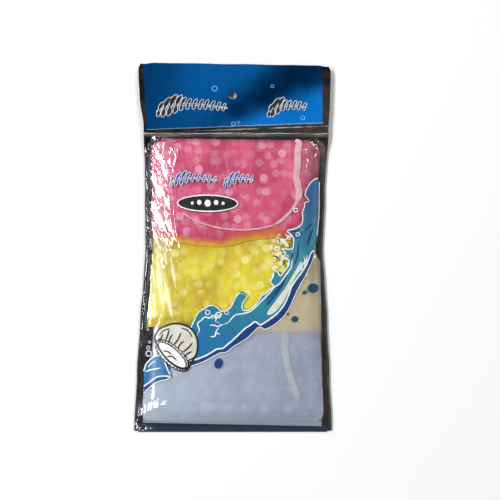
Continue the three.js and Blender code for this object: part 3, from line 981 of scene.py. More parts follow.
# How far the low lip lies up from the cap's low end, over shares of its width
LIP = {
    "pink": (
        [-1, -0.82, -0.66, -0.5, -0.33, -0.16, 0, 0.16, 0.33, 0.6, 1],
        [6, 5.4, 2.8, 1.0, 0.2, 0.2, 1.6, 4.4, 6.4, 7.4, 8.6],
    ),
    "yellow": ([-1, -0.6, -0.3, 0.1, 0.5, 0.8, 1], [5.4, 4.6, 3, 1.4, 1.2, 0.6, 2.6]),
    "lavender": ([-1, -0.5, 0, 0.5, 1], [1.5, 0.3, 0.6, 0.2, 1.0]),
}
cap_tops = {}


def thin_places(name, px, py):
    """Where a cap is a single layer that shows the dark behind it."""
    if name == "pink":
        right = smooth(px + 0.05 * (py - 60), 48, 50) * (0.55 + 0.45 * smooth(px, 52, 60)) * smooth(py, 2, 30)
        return right + 0.75 * smooth(py, 72, 77.4) * (1 - 0.5 * smooth(px, 47, 49))
    if name == "yellow":
        return 0.5 * smooth(py, -6, 1) * (1 - smooth(px, -40, -10)) + 0.35 * smooth(py, -6, 8)
    return 0 * px


def folded_cap(name, seed):
    """A cap's many loose layers as one soft packet with shallow folds over it."""
    node = name + "_cap_film"
    low, high = (corner.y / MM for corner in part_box(node))
    left, right = cad_edges(node)
    top, bottom = cad_relief(node), cad_relief(node, top=False)
    is_pink, is_yellow, is_lavender = (name == cap for cap in CAP_NAMES)
    tail, tucked = 2.3 * is_pink, 4.5 * is_lavender
    rows, columns = 150, 190

    def lip(s):
        return low + np.interp(s, *LIP[name]) + 0.35 * noise_at(s * 60, s * 0, 9, seed)

    def end(s):
        return high + tail - 0.3 - 0.5 * np.abs(noise_at(s * 60, s * 0 + 7, 12, seed))

    def ragged(edge, k, tuck=0):
        return lambda py: (
            edge(py) - 0.2 - 0.5 * np.abs(noise_at(py, py * 0 + k, 11, seed)) - tuck * smooth(py, -91, -83)
        )

    cx, cy = spread(lip, end, ragged(left, 1, tucked), ragged(right, 4), rows, columns)
    reach = cy - lip(np.linspace(-1, 1, columns))[None]
    away = np.minimum(smooth(reach, 0, 8), smooth(high - cy, 0, 8))
    next_cap = {"yellow": "pink_cap_film", "lavender": "yellow_cap_film"}
    covered_from = 200 if is_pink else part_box(next_cap[name])[0].y / MM
    folds = (1 - 0.8 * smooth(cy, covered_from - 10, covered_from - 1)) * FOLD_DEPTHS[name] * (
        0.4 * noise_at(cx, cy, 11, seed, 0.9, 2.0) + 0.26 * noise_at(cx, cy, 5, seed + 4, -0.5, 2.5)
        + 0.5 * (0.5 - np.abs(noise_at(cx, cy, 14, seed + 9, 0.3, 1.8)))
        + 0.4 * (0.4 - np.abs(noise_at(cx, cy, 7, seed + 6, -0.9, 1.4)))
    )
    highest_fold, thinnest = 0.8, 0.3
    upper = top.at(cx, cy) + np.minimum(folds, highest_fold) * (0.25 + 0.75 * away) - 0.12
    lower = bottom.at(cx, cy) + 0.05
    upper = np.maximum(upper - 0.5 * np.maximum(cy - high + 0.8, 0) * is_pink, lower + thinnest)
    drooping = 0.5 * (1 - smooth(reach, 0, 6)) + 0.6 * (1 - smooth(reach, 2, 10))
    lower = lower - drooping * (not is_lavender)
    upper = np.maximum(lower + (upper - lower) * (0.12 + 0.88 * smooth(reach, -2, 10)), lower + thinnest)
    points, faces = packet_points(cx, cy, upper, lower, 1.6)
    title = name + "_cap_sheet"
    piece = piece_from(title, points, faces, CAP_FILMS[name], name + "_cap", name + "_film", node)
    wider = 5.5 * smooth(cx, -14, 6) * is_pink
    rim = 1 - smooth(reach + 1.8 * noise_at(cx, cy, 9, seed + 2), 0.2, 7.5 + wider)
    rim *= 1 - 0.35 * smooth(cx, 5, 35) * is_pink - smooth(-cx, -15, 25) * is_yellow
    for title, value in (("rim", rim), ("thin", thin_places(name, cx, cy))):
        keep_values(piece.data, title, np.concatenate([value.ravel(), np.zeros(len(points) - value.size)]))
    cap_tops[name] = top
    return piece


cap_pieces = {name: folded_cap(name, seed) for name, seed in zip(CAP_NAMES, (1.7, 5.2, 8.4))}


# Bands that follow a line: elastics, seams and welds

class ShapeTree(Nodes):
    """A geometry tree that takes some numbers, given here with their plain values, and a finish."""

    def __init__(self, name, numbers):
        super().__init__(bpy.data.node_groups.new(name, "GeometryNodeTree"))
        sockets = self.tree.interface
        for way in ("INPUT", "OUTPUT"):
            sockets.new_socket("Geometry", in_out=way, socket_type="NodeSocketGeometry")
        for title, value in numbers.items():
            sockets.new_socket(title, in_out="INPUT", socket_type="NodeSocketFloat").default_value = value
        sockets.new_socket("Finish", in_out="INPUT", socket_type="NodeSocketMaterial")
        self.given = self.node("NodeGroupInput").outputs

    def done(self, geometry):
        """Ends the tree with a shape, shaded smooth and in its finish."""
        real = self.shape("RealizeInstances", {"Geometry": geometry})
        smoothed = self.shape("SetShadeSmooth", {"Geometry": real})
        painted = self.shape("SetMaterial", {"Geometry": smoothed, "Material": self.given["Finish"]})
        self.node("NodeGroupOutput", {"Geometry": painted})
        return self.tree


def band_tree():
    """Sweeps a flat rounded band along a line, with small gathers across it."""
    t = ShapeTree("gathered_band", {
        "Width": 0.0055, "Thickness": 0.001, "Step": 0.0006, "Gather": 0.0003, "Gather pitch": 0.002,
    })
    line = t.shape("ResampleCurve", {"Curve": t.given["Geometry"], "Length": t.given["Step"]}, mode="LENGTH")
    upright = t.shape("SetCurveNormal", {"Curve": line}, mode="Z_UP")
    ring = t.shape("CurvePrimitiveCircle", {"Resolution": 14, "Radius": 0.5})
    size = t.shader("CombineXYZ", {"X": t.given["Width"], "Y": t.given["Thickness"], "Z": 1.0}).outputs[0]
    section = t.shape("Transform", {"Geometry": ring, "Scale": size})
    swept = t.shape("CurveToMesh", {
        "Curve": upright, "Profile Curve": section, "Fill Caps": True, "Scale": t.shape("InputRadius"),
    })
    pitch = t.math("DIVIDE", 1.0, t.given["Gather pitch"])
    sockets = {"Vector": t.shape("InputPosition"), "Scale": pitch, "Detail": 2.0}
    rough = t.shader("TexNoise", sockets).outputs[0]
    height = t.times(t.times(t.minus(rough, 0.5), t.given["Gather"]), 4.0)
    offset = t.shader("CombineXYZ", {"Z": height}).outputs[0]
    return t.done(t.shape("SetPosition", {"Geometry": swept, "Offset": offset}))


def grown(name, source, tree, values, body, node=None):
    """What a geometry tree makes of a source object, as a plain mesh piece."""
    carrier = bpy.data.objects.new(name + "_line", source)
    bpy.context.scene.collection.objects.link(carrier)
    modifier = carrier.modifiers.new("shape", "NODES")
    modifier.node_group = tree
    ids = {item.name: item.identifier for item in tree.interface.items_tree if item.in_out == "INPUT"}
    for title, value in values.items():
        modifier[ids[title]] = value
    bpy.context.view_layer.update()
    mesh = bpy.data.meshes.new_from_object(carrier.evaluated_get(bpy.context.evaluated_depsgraph_get()))
    carrier.modifiers.remove(modifier)
    bpy.data.objects.remove(carrier)
    return settled(bpy.data.objects.new(name, mesh), body, node)


def line_curve(name, points, radii, closed=False):
    """A line through points in millimetres, with how wide it is at each as a share."""
    data = bpy.data.curves.new(name, "CURVE")
    data.dimensions = "3D"
    spline = data.splines.new("POLY")
    spline.points.add(len(points) - 1)
    for target, point, radius in zip(spline.points, points, radii):
        target.co = (*(Vector(point) * MM), 1)
        target.radius = radius
    spline.use_cyclic_u = closed
    return data


BAND = band_tree()

HIDDEN = (90, 95)  # past every cap, so that nothing shows

# Each elastic's route, the stretch of y where it shows at the right, and how much of its hem shows
ELASTIC_PATHS = {
    "pink": (
        [(45.8, 74.4), (45.5, 67), (45.2, 58), (44.6, 48), (46.3, 35), (40.5, 24), (31, 15), (18, 10.6),
         (0, 9.6), (-16, 11.8), (-32, 18), (-45, 30), (-47, 50), (-38, 66), (-12, 70), (20, 70.6),
         (38, 71.6)],
        (27, 90), 1.0,
    ),
    "yellow": (
        [(40, -20), (44, -36), (38, -50), (18, -55.5), (-8, -56.5), (-30, -54), (-45, -46), (-47, -33),
         (-40, -20), (-18, -13), (8, -11.5), (28, -12.5)],
        HIDDEN, 0.0,
    ),
    "lavender": (
        [(35.2, -65.6), (36, -74), (38.2, -87), (41.4, -99), (45, -110.5), (37, -118), (15, -119), (-9, -119),
         (-32, -116), (-46, -104), (-46, -88), (-36, -74), (-13, -69.5), (13, -68)],
        (-116, -62), 0.0,
    ),
}


def elastic(name):
    """The gathered band, sunk into the folds where the photograph hides it."""
    route, (shown_low, shown_high), hem_share = ELASTIC_PATHS[name]
    line = curve_through(route, 1.2, closed=True)
    ex, ey = line[:, 0], line[:, 1]
    run = smooth(ey, shown_low - 2, shown_low + 8) * (1 - smooth(ey, shown_high - 4, shown_high))
    run *= smooth(ex, 30, 36)
    if name == "pink":
        run *= (ey < 76) & ((ex > 44.4) | (ey < 66))
    low_side = smooth(ey.min() + 27 - ey, 0, 3) * hem_share
    hem = low_side * (1 - smooth(ex, 26, 32)) * smooth(ex, -42, -35)
    slant = low_side * smooth(ex, 26, 32)
    seen = np.maximum(np.maximum(run, slant), hem)
    standing_out, sunk = 0.8, 2.4
    z = cap_tops[name].at(ex, ey) + standing_out - sunk * (1 - seen)
    z += 0.12 * noise_at(ex, ey, 9, 3.3) - 0.65 * np.maximum(ey - 73.6, 0)
    radii = np.maximum(np.maximum(run, 0.44 * slant), np.maximum(0.25 * hem, 0.16))
    data = line_curve(name, np.column_stack([line, z]), radii, closed=True)
    values = {
        "Width": 0.0052, "Thickness": 0.001, "Gather": 0.00022, "Gather pitch": 0.0024,
        "Finish": ELASTICS[name],
    }
    grown(name + "_elastic_band", data, BAND, values, name + "_cap", name + "_elastic")


def seam(name, side):
    """The welded side of the pouch, -1 for left and 1 for right."""
    mouth_y, head_y, inset, sunk = -132.6, 77.4, 0.5, 0.18
    ys = np.linspace(mouth_y, head_y, 260)
    edge = wavy(left_edge, 5)(ys) if side < 0 else wavy(right_edge, 9)(ys)
    xs = side * (edge - inset)
    zs = film.at(xs, ys) - sunk
    data = line_curve(name, np.column_stack([xs, ys, zs]), np.ones(len(xs)))
    values = {"Width": 0.0013, "Thickness": 0.0005, "Step": 0.0008, "Gather": 0.00005, "Finish": SEAM}
    grown(name, data, BAND, values, "pouch")


def weld_band():
    """The strip of welded film between the pouch and the header."""
    wx, wy = spread(
        lambda s: 77.6 + 0.3 * s, lambda s: 82.2 + 0.5 * s, wavy(left_edge, 5), wavy(right_edge, 9), 16, 150
    )
    upper_level, lower_level, weld_y = 5.36, 4.36, 79.9
    crest = 0.32 * np.exp(-(((wy - weld_y - WELD_LEAN * wx) / 0.45) ** 2))
    ripple = 0.08 * noise_at(wx, wy, 6, 6.0) + 0.05 * noise_at(wx, wy, 2.5, 2.0)
    points, faces = packet_points(wx, wy, upper_level + crest + ripple, lower_level + 0.3 * ripple, 0.7)
    piece = piece_from("weld_band", points, faces, FILM_WELD, None, "back_film")
    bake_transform(piece)


def mouth_fold():
    """The film's bend from the front of the mouth to the flap under it."""
    share = np.linspace(-1, 1, 120)
    arc = [
        (-132.9, 0.2), (-133.4, 0.2), (-133.62, 0.33), (-133.66, 0.62), (-133.8, 0.66), (-133.8, 0.3),
        (-133.55, 0.04), (-132.9, 0.04),
    ]
    left, right = left_edge(-133.5) - 3, right_edge(-133.5) - 3
    xs = np.where(share < 0, share * left, share * right)
    points = np.array([(px, py, pz) for px in xs for py, pz in arc])
    index = np.arange(len(points)).reshape(len(xs), len(arc))
    around = np.concatenate([index, index[:, :1]], 1)
    faces = [*grid_faces(around).tolist(), index[0, ::-1].tolist(), index[-1].tolist()]
    piece = piece_from("mouth_fold", points, faces, FILM_BACK, None, "front_film")
    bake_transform(piece)


for name in CAP_NAMES:
    elastic(name)
seam("side_seam_left", -1)
seam("side_seam_right", 1)
weld_band()
mouth_fold()


# The print on the inside of the front film

def printed(name, loops, finish, lift, step=1.4, on=film_on):
    """A filled printed shape."""
    flat, faces = filled(loops, step)
    points = np.column_stack([flat, on(lift)(flat[:, 0], flat[:, 1])])
    piece_from(name, points, faces, finish, "pouch", "front_film")


def stroked(name, lines, finish, lift, on=film_on, body="pouch", slot="front_film"):
    """Printed strokes of varying width."""
    points, faces = ribbon_points(lines, on(lift))
    piece_from(name, points, faces, finish, body, slot)


def with_width(points, width, taper=True):
    """A line with its stroke's width, thinner towards its ends."""
    t = np.linspace(0, 1, len(points))
    swell = np.clip(np.minimum(t, 1 - t) * 6, 0.25, 1) if taper else np.ones_like(t)
    return np.column_stack([points, width * swell])


def drawn(lines, width, spacing=0.8):
    """Tapered strokes of one width along smooth lines."""
    return [with_width(curve_through(points, spacing), width) for points in lines]


def round_loop(cx, cy, rx, ry, turn=0.0):
    """A closed oval from its middle, its two reaches and its turn."""
    a = np.linspace(0, 2 * math.pi, max(14, int(6 * (rx + ry))), endpoint=False)
    x0, y0 = rx * np.cos(a), ry * np.sin(a)
    c, s = math.cos(turn), math.sin(turn)
    return np.column_stack([cx + x0 * c - y0 * s, cy + x0 * s + y0 * c])


# The wave, its deep band and the frosted panel below it
WAVE_TOP = [
    (60.6, 48.2), (58.6, 47.8), (55, 45), (52.8, 41.5), (51.2, 38.5), (50.6, 35.4), (52.4, 32.6),
    (53.4, 30.8), (50.6, 29.6), (49.8, 26), (48.6, 22.4), (48.8, 18.5), (48.2, 14.8), (45.6, 11.8),
    (41.8, 10.2), (38.6, 9.6), (37.8, 8.2), (40.6, 6.2), (42.2, 3), (42, -1), (41.4, -3.6), (38, -4.4),
    (33.8, -3.8), (36.4, -7), (35, -9.6), (38.8, -12), (38.4, -16), (36, -19.6), (32.6, -23.4),
    (30.8, -21), (28.2, -19.4), (27.6, -23.6), (25.6, -27.6), (27.8, -30.6), (24.6, -33.6),
    (21.6, -36.6), (19.6, -37.2), (17.6, -40.6), (14.4, -44.6), (10.4, -47.6), (6.6, -48), (5.4, -45.4),
    (6.6, -41.4), (9, -38.6), (6.6, -36.4), (3.8, -35.8), (1, -38.6), (-0.8, -42.6), (-3, -46.4),
    (-6.4, -48.4), (-9.6, -48.6), (-11.6, -46.4), (-14.6, -44.8), (-18, -44.9), (-21.4, -47.2),
    (-25, -49.4), (-27.4, -53.4), (-29.2, -57.6), (-30.8, -61.2), (-31.4, -66),
]
WAVE_LOW = [
    (-31, -84), (-25.4, -82), (-20.4, -80), (-16, -77.6), (-12, -75.2), (-8, -74.6), (-4.4, -71.8),
    (-0.4, -68.4), (3.8, -64.4), (7.6, -60.8), (11.8, -58), (14.4, -56), (16.4, -56.8), (18.4, -58.2),
    (20.8, -57), (25, -54.2), (30.4, -50), (34.6, -44.8), (37.2, -40), (39, -35.4), (40.6, -31),
    (44.2, -25.6), (47.4, -21.4), (50.8, -16), (53.4, -10.6), (55.2, -6.4), (57.6, -4.4),
]
WAVE_SIDE = [(59.6, 6.1), (61.1, 20.6), (61.4, 35.2), (61.5, 45.6)]
BAND_LOW = [
    (57.8, -6.2), (56.4, -11), (54.2, -16), (51, -22.6), (47.8, -28), (44.9, -33), (42.7, -38),
    (40.3, -43.4), (37.4, -48.8), (33.4, -53.8), (28, -58.2), (22, -61.2), (19.4, -60), (17, -59.8),
    (14.4, -62.4), (10.4, -66.4), (7.2, -68.8), (2.6, -71.6), (-1.4, -74.2), (-5.4, -77.2), (-10, -78),
    (-14, -80), (-19, -82.8), (-24, -85), (-31, -87.4),
]

wave_top = curve_through(WAVE_TOP)
wave_low = curve_through(WAVE_LOW)
wave_side = curve_through(WAVE_SIDE)
band_low = curve_through(BAND_LOW)
printed("print_wave", [np.concatenate([wave_top, wave_low, wave_side])], WAVE_INK, 0.05)
printed("print_wave_band", [np.concatenate([band_low, wave_low[1:-1]])], DEEP_INK, 0.07)
panel = [(-63.6, -126.8), (0, -128.2), (62.6, -129.6), (62.6, -60), (62.2, -12)]
panel_top = [tuple(p) for p in curve_through(BAND_LOW, 2.0)]
panel_left = [(-44.2, -95.3), (-49, -96.5), (-55.5, -99.5), (-63.2, -106.4)]
panel_loop = np.array(panel + panel_top + panel_left)
printed("print_frosted_panel", [panel_loop], frosted_ink(), -0.45, on=under_film)

# The wave's end at the left
LEFT_TOP = [
    (-63.4, -91), (-62.2, -86.8), (-59.2, -83), (-56, -80.4), (-51.5, -80), (-48.6, -84), (-46.6, -89),
    (-44.6, -93),
]
LEFT_LOW = [(-44.2, -94.3), (-49.5, -94), (-54, -94.8), (-58.6, -98), (-63.2, -101.6)]
LEFT_BAND = [(-63, -106.2), (-60, -103.2), (-55.8, -99.6), (-51, -97.3), (-47.2, -96.5), (-44.3, -95)]
left_top, left_low, left_band = (curve_through(points) for points in (LEFT_TOP, LEFT_LOW, LEFT_BAND))
printed("print_wave_left", [np.concatenate([left_top, left_low])], WAVE_INK, 0.05)
printed("print_wave_left_band", [np.concatenate([left_low, left_band])], DEEP_INK, 0.07)

# Foam lines, shades and the pale lens along the wave
FOAM_LINES = [
    [(41.4, -3), (41, -12), (40.2, -17.5), (38.2, -20.5), (35, -25), (31.6, -29.4), (28.4, -31.2),
     (24.4, -36), (21.4, -39.2), (17.6, -43), (14.2, -46.4), (11, -48.8), (6, -50.3), (1.4, -51),
     (-1.6, -53.4), (-4.2, -56.4), (-8, -58), (-11.2, -57.4)],
    [(-8, -58), (-11.6, -59.4), (-14.6, -58.4), (-17.4, -58.8)],
    [(-26.2, -66), (-24.6, -62), (-25.8, -57.6), (-23.2, -55), (-20.6, -52.8), (-17.4, -53.6), (-15.4, -51.8),
     (-12.8, -53.4), (-13.2, -55.8), (-10.6, -56.4)],
    [(-10.6, -60), (-12.8, -63), (-13.6, -66.2), (-17, -66.4)], [(-13.4, -63.6), (-10.2, -64.8)],
    [(-12.6, -50.6), (-10.8, -52), (-8.2, -50.2)],
    [(49.6, -9.4), (50.4, -13), (48.2, -15), (47.6, -18.4), (45, -20), (44.4, -23)],
    [(52, -8), (51.6, -11.6), (50, -14.6), (49.4, -17)],
    [(29.6, 4.6), (31.4, 3.2), (31, 0.6), (33.2, -0.8)], [(36, 6.6), (37.8, 4.6), (36.8, 2.4)],
    [(26.6, -7), (29.4, -8.2), (29, -10.6)], [(31.8, -10), (33.8, -12), (32.6, -14.8), (35, -17)],
    [(24.6, -1), (26.4, -2.8), (25.4, -4.8)],
]
FOAM_SHADES = [
    [(30.4, 3.4), (32.2, 1.8), (31.8, -0.4)], [(33, -5.4), (35.2, -6.8), (34.6, -9)],
    [(27.6, -9), (30.2, -10), (29.8, -12.4)], [(37, 0.6), (39.4, -1.2), (38.8, -3.2)],
    [(34.6, -13.4), (36.4, -15.4)], [(39.8, 7.8), (42, 6), (42.6, 3.6)], [(31.2, -20.2), (33.4, -21.8)],
    [(41.6, -6), (40.8, -10.6), (39.6, -14.2)], [(-17, -47), (-19.6, -48), (-22.6, -50)],
    [(8.6, -37.6), (6, -35.6), (3, -35)], [(47, 10.6), (43.6, 8.8), (40, 8.4)],
]
# Dark strokes over the wave; the first two are painted shade along a crease of the film across it.
WAVE_AND_CREASE_SHADES = [
    [(60.6, 19.6), (54.5, 13.8), (49.5, 8.6), (44, 3.4)], [(57, 12), (54, 5), (52.6, -2)],
    [(46, 1), (45, -8), (42.6, -16)], [(38, -22), (31, -32), (22, -41.5)], [(36, -27), (29, -37), (22, -45)],
]
LENS = [
    (47.6, -12.6), (43.4, -19.4), (39.6, -26), (36, -32), (31.6, -38), (27.4, -43.6), (23.8, -48.4),
    (23.4, -51), (27.4, -50), (31.6, -46), (35.4, -40.6), (38, -35.4), (40.6, -29.4), (43.8, -23.6),
    (46.8, -18.6),
]
printed("print_wave_lens", [curve_through(LENS, 0.9, closed=True)], PALE_INK, 0.09)
foam = drawn(FOAM_LINES, 0.85, 0.6)
foam += [with_width(line, width, taper=False) for line, width in (
    (wave_top, 0.7), (wave_low, 1.0), (band_low, 0.5), (wave_side, 0.7),
    (left_top, 0.9), (left_low, 0.9), (left_band, 0.6),
)]
foam += drawn([[(-62.6, -91.6), (-59, -90), (-54, -89), (-51, -88.4)]], 0.9)
foam += drawn([[(-60.4, -88.4), (-58, -85.4), (-55, -83.4)]], 0.7)
stroked("print_foam_lines", foam, WHITE_INK, 0.12)
stroked("print_foam_shades", drawn(FOAM_SHADES, 0.8, 0.6), BLACK_INK, 0.13)
# The wave's dark strokes, two of them painted shade along a crease of the film.
stroked("print_wave_and_crease_shades", drawn(WAVE_AND_CREASE_SHADES, 1.5), DEEP_INK, 0.1)

DROPS = [
    (56.3, -31.8, 4.2, 3.3, 0.1), (50, -35, 1.9, 1.2, 0.6), (42.8, -54, 2.4, 2.2, 0),
    (38, -50.4, 0.9, 0.9, 0),
]
printed("print_drops", [round_loop(*drop) for drop in DROPS], DROP_INK, 0.06, 1.0)
printed("print_blue_drop", [round_loop(-10.8, -85.2, 2.9, 3.6, -0.3)], DEEP_INK, 0.06, 1.0)

# The dark oval with its pale rim and beads
OVAL_X, OVAL_Y, OVAL_HALF_LENGTH, OVAL_HALF_HEIGHT, OVAL_RIM = -19.6, 28.3, 21.9, 6.3, 0.9
oval_rim = round_loop(OVAL_X, OVAL_Y, OVAL_HALF_LENGTH, OVAL_HALF_HEIGHT)
oval = round_loop(OVAL_X, OVAL_Y, OVAL_HALF_LENGTH - OVAL_RIM, OVAL_HALF_HEIGHT - OVAL_RIM)
printed("print_oval_rim", [oval_rim], WHITE_INK, 0.06)
printed("print_oval", [oval], BLACK_INK, 0.12)
beads = [round_loop(OVAL_X + dx, OVAL_Y + dy, r, r * 1.15) for dx, dy, r in (
    (-11, 0, 1.1), (-6, 0.6, 1.6), (0, 0, 2.2), (6, 0.6, 1.6), (11, 0, 1.1),
)]
printed("print_oval_beads", beads, WHITE_INK, 0.18, 0.9)


def sprig(stem, heights, plump=0.28):
    """A thin stem with pairs of leaning leaves whose heights follow a list."""
    stem = curve_through(stem, 0.5)
    lines = [with_width(stem, 0.6)]
    up_lean, down_lean, t = 1.05, 1.05 + math.pi + 0.25, np.linspace(0, 1, 12)
    for share, height in zip(np.linspace(0.04, 0.95, len(heights)), heights):
        foot = stem[int(share * (len(stem) - 1))]
        for turn, reach in ((up_lean, 0.6 * height), (down_lean, 0.42 * height)):
            bend = 0.28 * (t - t * t)
            ahead = np.array([math.cos(turn), math.sin(turn)])
            side = np.array([-ahead[1], ahead[0]])
            points = foot + np.outer(t, ahead) * reach + np.outer(bend, side) * reach
            lines.append(np.column_stack([points, 0.1 + plump * height ** 0.85 * np.sin(math.pi * t) ** 0.8]))
    return lines


def outlined(name, lines, finish, lift, **where):
    """Strokes in one ink with a white outline under them."""
    wider = [np.column_stack([line[:, :2], line[:, 2] + 0.8]) for line in lines]
    stroked(name + "_outline", wider, WHITE_INK, lift, **where)
    stroked(name, lines, finish, lift + 0.06, **where)


ON_HEADER = {"on": header_on, "body": "header", "slot": "header_print"}
header_sprigs = sprig(
    [(-58, 97), (-44, 101.5), (-26, 102), (-6, 100)], (12, 16, 17.5, 15, 11, 9, 8.4, 8.2, 8, 7.6, 7, 6)
)
header_sprigs += sprig([(24, 97.5), (31, 101.5), (42, 102.5), (52, 101.5)], (11, 15.5, 14, 9, 8, 7.6, 7, 6))
outlined("print_header_sprigs", header_sprigs, BLACK_INK, 0.05, **ON_HEADER)
pink_sprigs = sprig([(-47, 43), (-38, 46), (-26, 46.4), (-13, 45)], (8, 11, 11.5, 9, 7, 6, 5.8, 5.6, 5), 0.23)
pink_sprigs += sprig([(-8, 43), (-2, 46), (6, 46.6), (13, 45.6)], (8, 11.5, 10, 6.6, 6, 5.6), 0.23)
outlined("print_pink_sprigs", pink_sprigs, BLUE_INK, 0.06)

# The cap in the lower left corner, as a plain picture
OPENING_X, OPENING_Y, OPENING_TURN = -43.4, -79.8, -0.72
FRILL_MIDDLE = (-43.6, -80.1)
CAP_BODY = [
    (-55.5, -71.5), (-56.8, -66), (-53.6, -60.6), (-48.4, -58), (-43.4, -56.4), (-36.4, -56.8),
    (-30.2, -59.6), (-26.2, -64.4), (-24.4, -70.6), (-24.8, -77.4), (-27.6, -83.4), (-31, -88.6),
    (-36, -90), (-42.5, -87), (-49.5, -80.6),
]
STRAND_LENGTHS = (3, 6, 9.5, 7, 12, 8, 11.5, 7, 9, 5, 3)
FOLD_LINES = [
    [(-53, -66), (-49.5, -62.5), (-45, -61)], [(-37.5, -60.5), (-32.6, -62.4), (-29.4, -67)],
    [(-47.6, -80.6), (-43.6, -80.4), (-40, -83.4)], [(-50, -76.6), (-46.6, -77), (-43.6, -79)],
]


def smaller(line):
    """A line of the picture drawn in a little towards its middle."""
    share = 0.93
    return line * share + np.array([-41, -74]) * (1 - share)


cap_body = smaller(curve_through(CAP_BODY, 0.7, closed=True))
opening = smaller(round_loop(OPENING_X, OPENING_Y, 13.6, 4.8, OPENING_TURN))
frill = round_loop(*FRILL_MIDDLE, 15.6, 6.8, OPENING_TURN)
frill += (0.7 * np.sin(np.arange(len(frill)) * 1.35))[:, None] * (frill - FRILL_MIDDLE) / 11
frill = smaller(curve_through(frill, 0.6, closed=True))
printed("print_cap_body", [cap_body], CREAM_INK, 0.09)
printed("print_cap_frill", [frill], WHITE_INK, 0.12)
cap_lines = [with_width(np.concatenate([loop, loop[:2]]), width, taper=False) for loop, width in (
    (cap_body, 1.3), (frill, 0.8), (opening, 0.9),
)]
for k, (a, length) in enumerate(zip(np.linspace(0.1, math.pi - 0.1, len(STRAND_LENGTHS)), STRAND_LENGTHS)):
    c, s = math.cos(OPENING_TURN), math.sin(OPENING_TURN)
    u, v = 14.4 * math.cos(a), 5.8 * math.sin(a)
    foot = np.array([OPENING_X + u * c - v * s, OPENING_Y + u * s + v * c])
    ahead = np.array([0.62 + 0.35 * math.cos(a), 0.78 - 0.3 * math.cos(a)])
    middle = foot + ahead * length * 0.5 + np.array([0.5, -0.5]) * (1 - 2 * (k % 2))
    strand = curve_through([foot, middle, foot + ahead * length], 0.6)
    cap_lines.append(with_width(smaller(strand), 1.1))
cap_lines += drawn(FOLD_LINES, 0.9)
stroked("print_cap_lines", cap_lines, BLACK_INK, 0.17)


# Foam patches and bubbles

def ring_tree():
    """Puts a wire ring of its own size on every point."""
    t = ShapeTree("bubble_rings", {"Wire": 0.0002, "Flatness": 0.3})
    ring = t.shape("CurvePrimitiveCircle", {"Resolution": 28, "Radius": 0.001})
    wire = t.shape("CurvePrimitiveCircle", {"Resolution": 6, "Radius": t.given["Wire"]})
    tube = t.shape("CurveToMesh", {"Curve": ring, "Profile Curve": wire})
    squeeze = t.shader("CombineXYZ", {"X": 1.0, "Y": 1.0, "Z": t.given["Flatness"]}).outputs[0]
    flat = t.shape("Transform", {"Geometry": tube, "Scale": squeeze})
    size = t.shape("InputNamedAttribute", {"Name": "size"}, data_type="FLOAT")
    stretch = t.shader("CombineXYZ", {"X": size, "Y": size, "Z": 1.0}).outputs[0]
    sockets = {"Points": t.given["Geometry"], "Instance": flat, "Scale": stretch}
    return t.done(t.shape("InstanceOnPoints", sockets))


RINGS = ring_tree()


def bubbles(name, spots, finish, lift, on=film_on, body="pouch", slot="front_film"):
    """Printed rings at spots of x, y and radius in millimetres."""
    spots = np.array(spots, float)
    level = on(lift)(spots[:, 0], spots[:, 1])
    data = bpy.data.meshes.new(name)
    data.from_pydata((np.column_stack([spots[:, :2], level]) * MM).tolist(), [], [])
    keep_values(data, "size", spots[:, 2])
    grown(name, data, RINGS, {"Wire": 0.00024, "Flatness": 0.25, "Finish": finish}, body)


FOAM_PATCHES = [
    (33.6, 1.4, 2.6, 1.6, 0.3), (37.8, -0.6, 2.2, 1.3, -0.6), (31.2, -7.6, 2.4, 1.5, 0.8),
    (35.2, -10.4, 2.6, 1.4, -0.4), (32.4, -14.4, 2.2, 1.2, 0.9), (28.6, -17.6, 2.4, 1.3, 0.3),
    (30.8, -2.8, 1.7, 1.0, 0.2), (27.2, -22.6, 1.6, 0.9, 1.0), (39.4, 5.2, 1.8, 0.9, 0.5),
    (38.2, -14.6, 1.4, 0.8, 1.2),
]
foam_patches = []
for k, (mx, my, rx, ry, turn) in enumerate(FOAM_PATCHES):
    loop = round_loop(mx, my, rx, ry, turn)
    lobes = 0.22 * np.sin(np.linspace(0, 2 * math.pi * (4 + k % 3), len(loop), endpoint=False) + k)
    foam_patches.append((loop - [mx, my]) * (1 + lobes)[:, None] + [mx, my])
printed("print_foam_patches", foam_patches, FOAM_INK, 0.03, 0.8)
bubbles("print_foam_bubbles", [
    (-18.8, -49.5, 1.6), (-15, -52.6, 1.1), (-11.2, -51.4, 1.9), (-5.4, -49.6, 1.3), (45.2, 6.5, 1.3),
    (34.5, 1.5, 1.4), (30.2, -3.8, 1.7), (34.6, -7.6, 1.2), (39, 3.6, 0.9), (43.6, 24, 1.4),
    (28.5, -11.5, 1.1), (-60, -78.6, 1.8), (-60.4, -74.5, 1.1), (-59.6, -70.5, 0.8), (32.8, -14, 1.0),
    (36.8, -0.6, 1.0), (28.2, 1.6, 0.9), (26.2, -14.4, 0.8), (37.6, -9.4, 0.8), (31.6, 5.8, 0.8),
], WHITE_INK, 0.12)
bubbles("print_header_bubbles", [
    (-15.6, 114.6, 1.8), (49.5, 93.5, 1.5), (-1.5, 88.2, 1.4), (2.2, 89.4, 0.9), (27, 117, 1.1),
], PALE_BLUE_INK, 0.04, **ON_HEADER)


# Floor, light and world

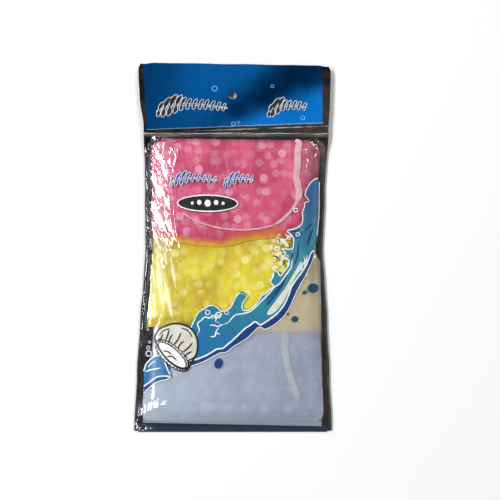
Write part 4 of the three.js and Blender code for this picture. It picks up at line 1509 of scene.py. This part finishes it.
def plain_floor():
    """A pale floor, a hair below the pack."""
    half = 4
    mesh = bpy.data.meshes.new("floor")
    corners = [(-half, -half, 0), (half, -half, 0), (half, half, 0), (-half, half, 0)]
    mesh.from_pydata(corners, [], [(0, 1, 2, 3)])
    f = Finish("floor")
    mesh.materials.append(f.done(f.shader("BsdfDiffuse", {"Color": (0.95, 0.95, 0.95)}).outputs[0]))
    floor = bpy.data.objects.new("floor", mesh)
    bpy.context.scene.collection.objects.link(floor)
    floor.location.z = -0.00005


def soft_lamp(name, place, size, watts):
    """A rectangular lamp that looks at the pack's middle."""
    data = bpy.data.lights.new(name, "AREA")
    data.shape = "RECTANGLE"
    data.size, data.size_y = size
    data.energy = watts
    lamp = bpy.data.objects.new(name, data)
    lamp.location = place
    lamp.rotation_euler = (-Vector(place)).to_track_quat("-Z", "Y").to_euler()
    bpy.context.scene.collection.objects.link(lamp)


def studio_world():
    """A dim room, with a pale card and a dark gap where the header looks."""
    world = bpy.data.worlds.new("studio")
    bpy.context.scene.world = world
    world.use_nodes = True
    n = Nodes(world.node_tree)
    n.tree.nodes.clear()
    way = n.shader("SeparateXYZ", {0: n.shader("TexCoord").outputs["Generated"]}).outputs
    up = n.math("MAXIMUM", way["Z"], 0.02)
    px, py = n.math("DIVIDE", way["X"], up), n.math("DIVIDE", way["Y"], up)

    corner_x, corner_y = -0.082, 0.249

    def past(turn):
        """How far a place lies past a line, turned this much, through the card's corner."""
        across = n.times(n.minus(px, corner_x), math.sin(turn))
        return n.minus(across, n.times(n.minus(py, corner_y), math.cos(turn)))

    walls = n.ease(way["Z"], 0.05, 0.8, 0.22, 0.26)
    room = n.blend(n.ease(way["Z"], 0.8, 0.95), walls, 0.1)
    over_header = n.between(py, 0.225, 0.262, 0.42, 0.52)
    over_header = n.times(over_header, n.fade(n.math("ABSOLUTE", px), 0.2, 0.3))
    plain = n.ease(px, -0.13, -0.02, 0.25, 0.62)
    beside = n.blend(n.ease(past(0.655), -0.02, 0.005), plain, 0.03)
    header_sees = n.blend(n.ease(past(0.385), -0.003, 0.003), beside, 1.25)
    strength = n.blend(over_header, room, header_sees)
    back = n.shader("Background", {"Color": (1, 1, 1), "Strength": strength}).outputs[0]
    n.shader("OutputWorld", {"Surface": back})


plain_floor()
soft_lamp("key_lamp", (-1.3, 0.15, 1.75), (2.1, 0.5), 43)
soft_lamp("fill_lamp", (0.95, 0.9, 1.7), (0.7, 0.7), 13)
studio_world()
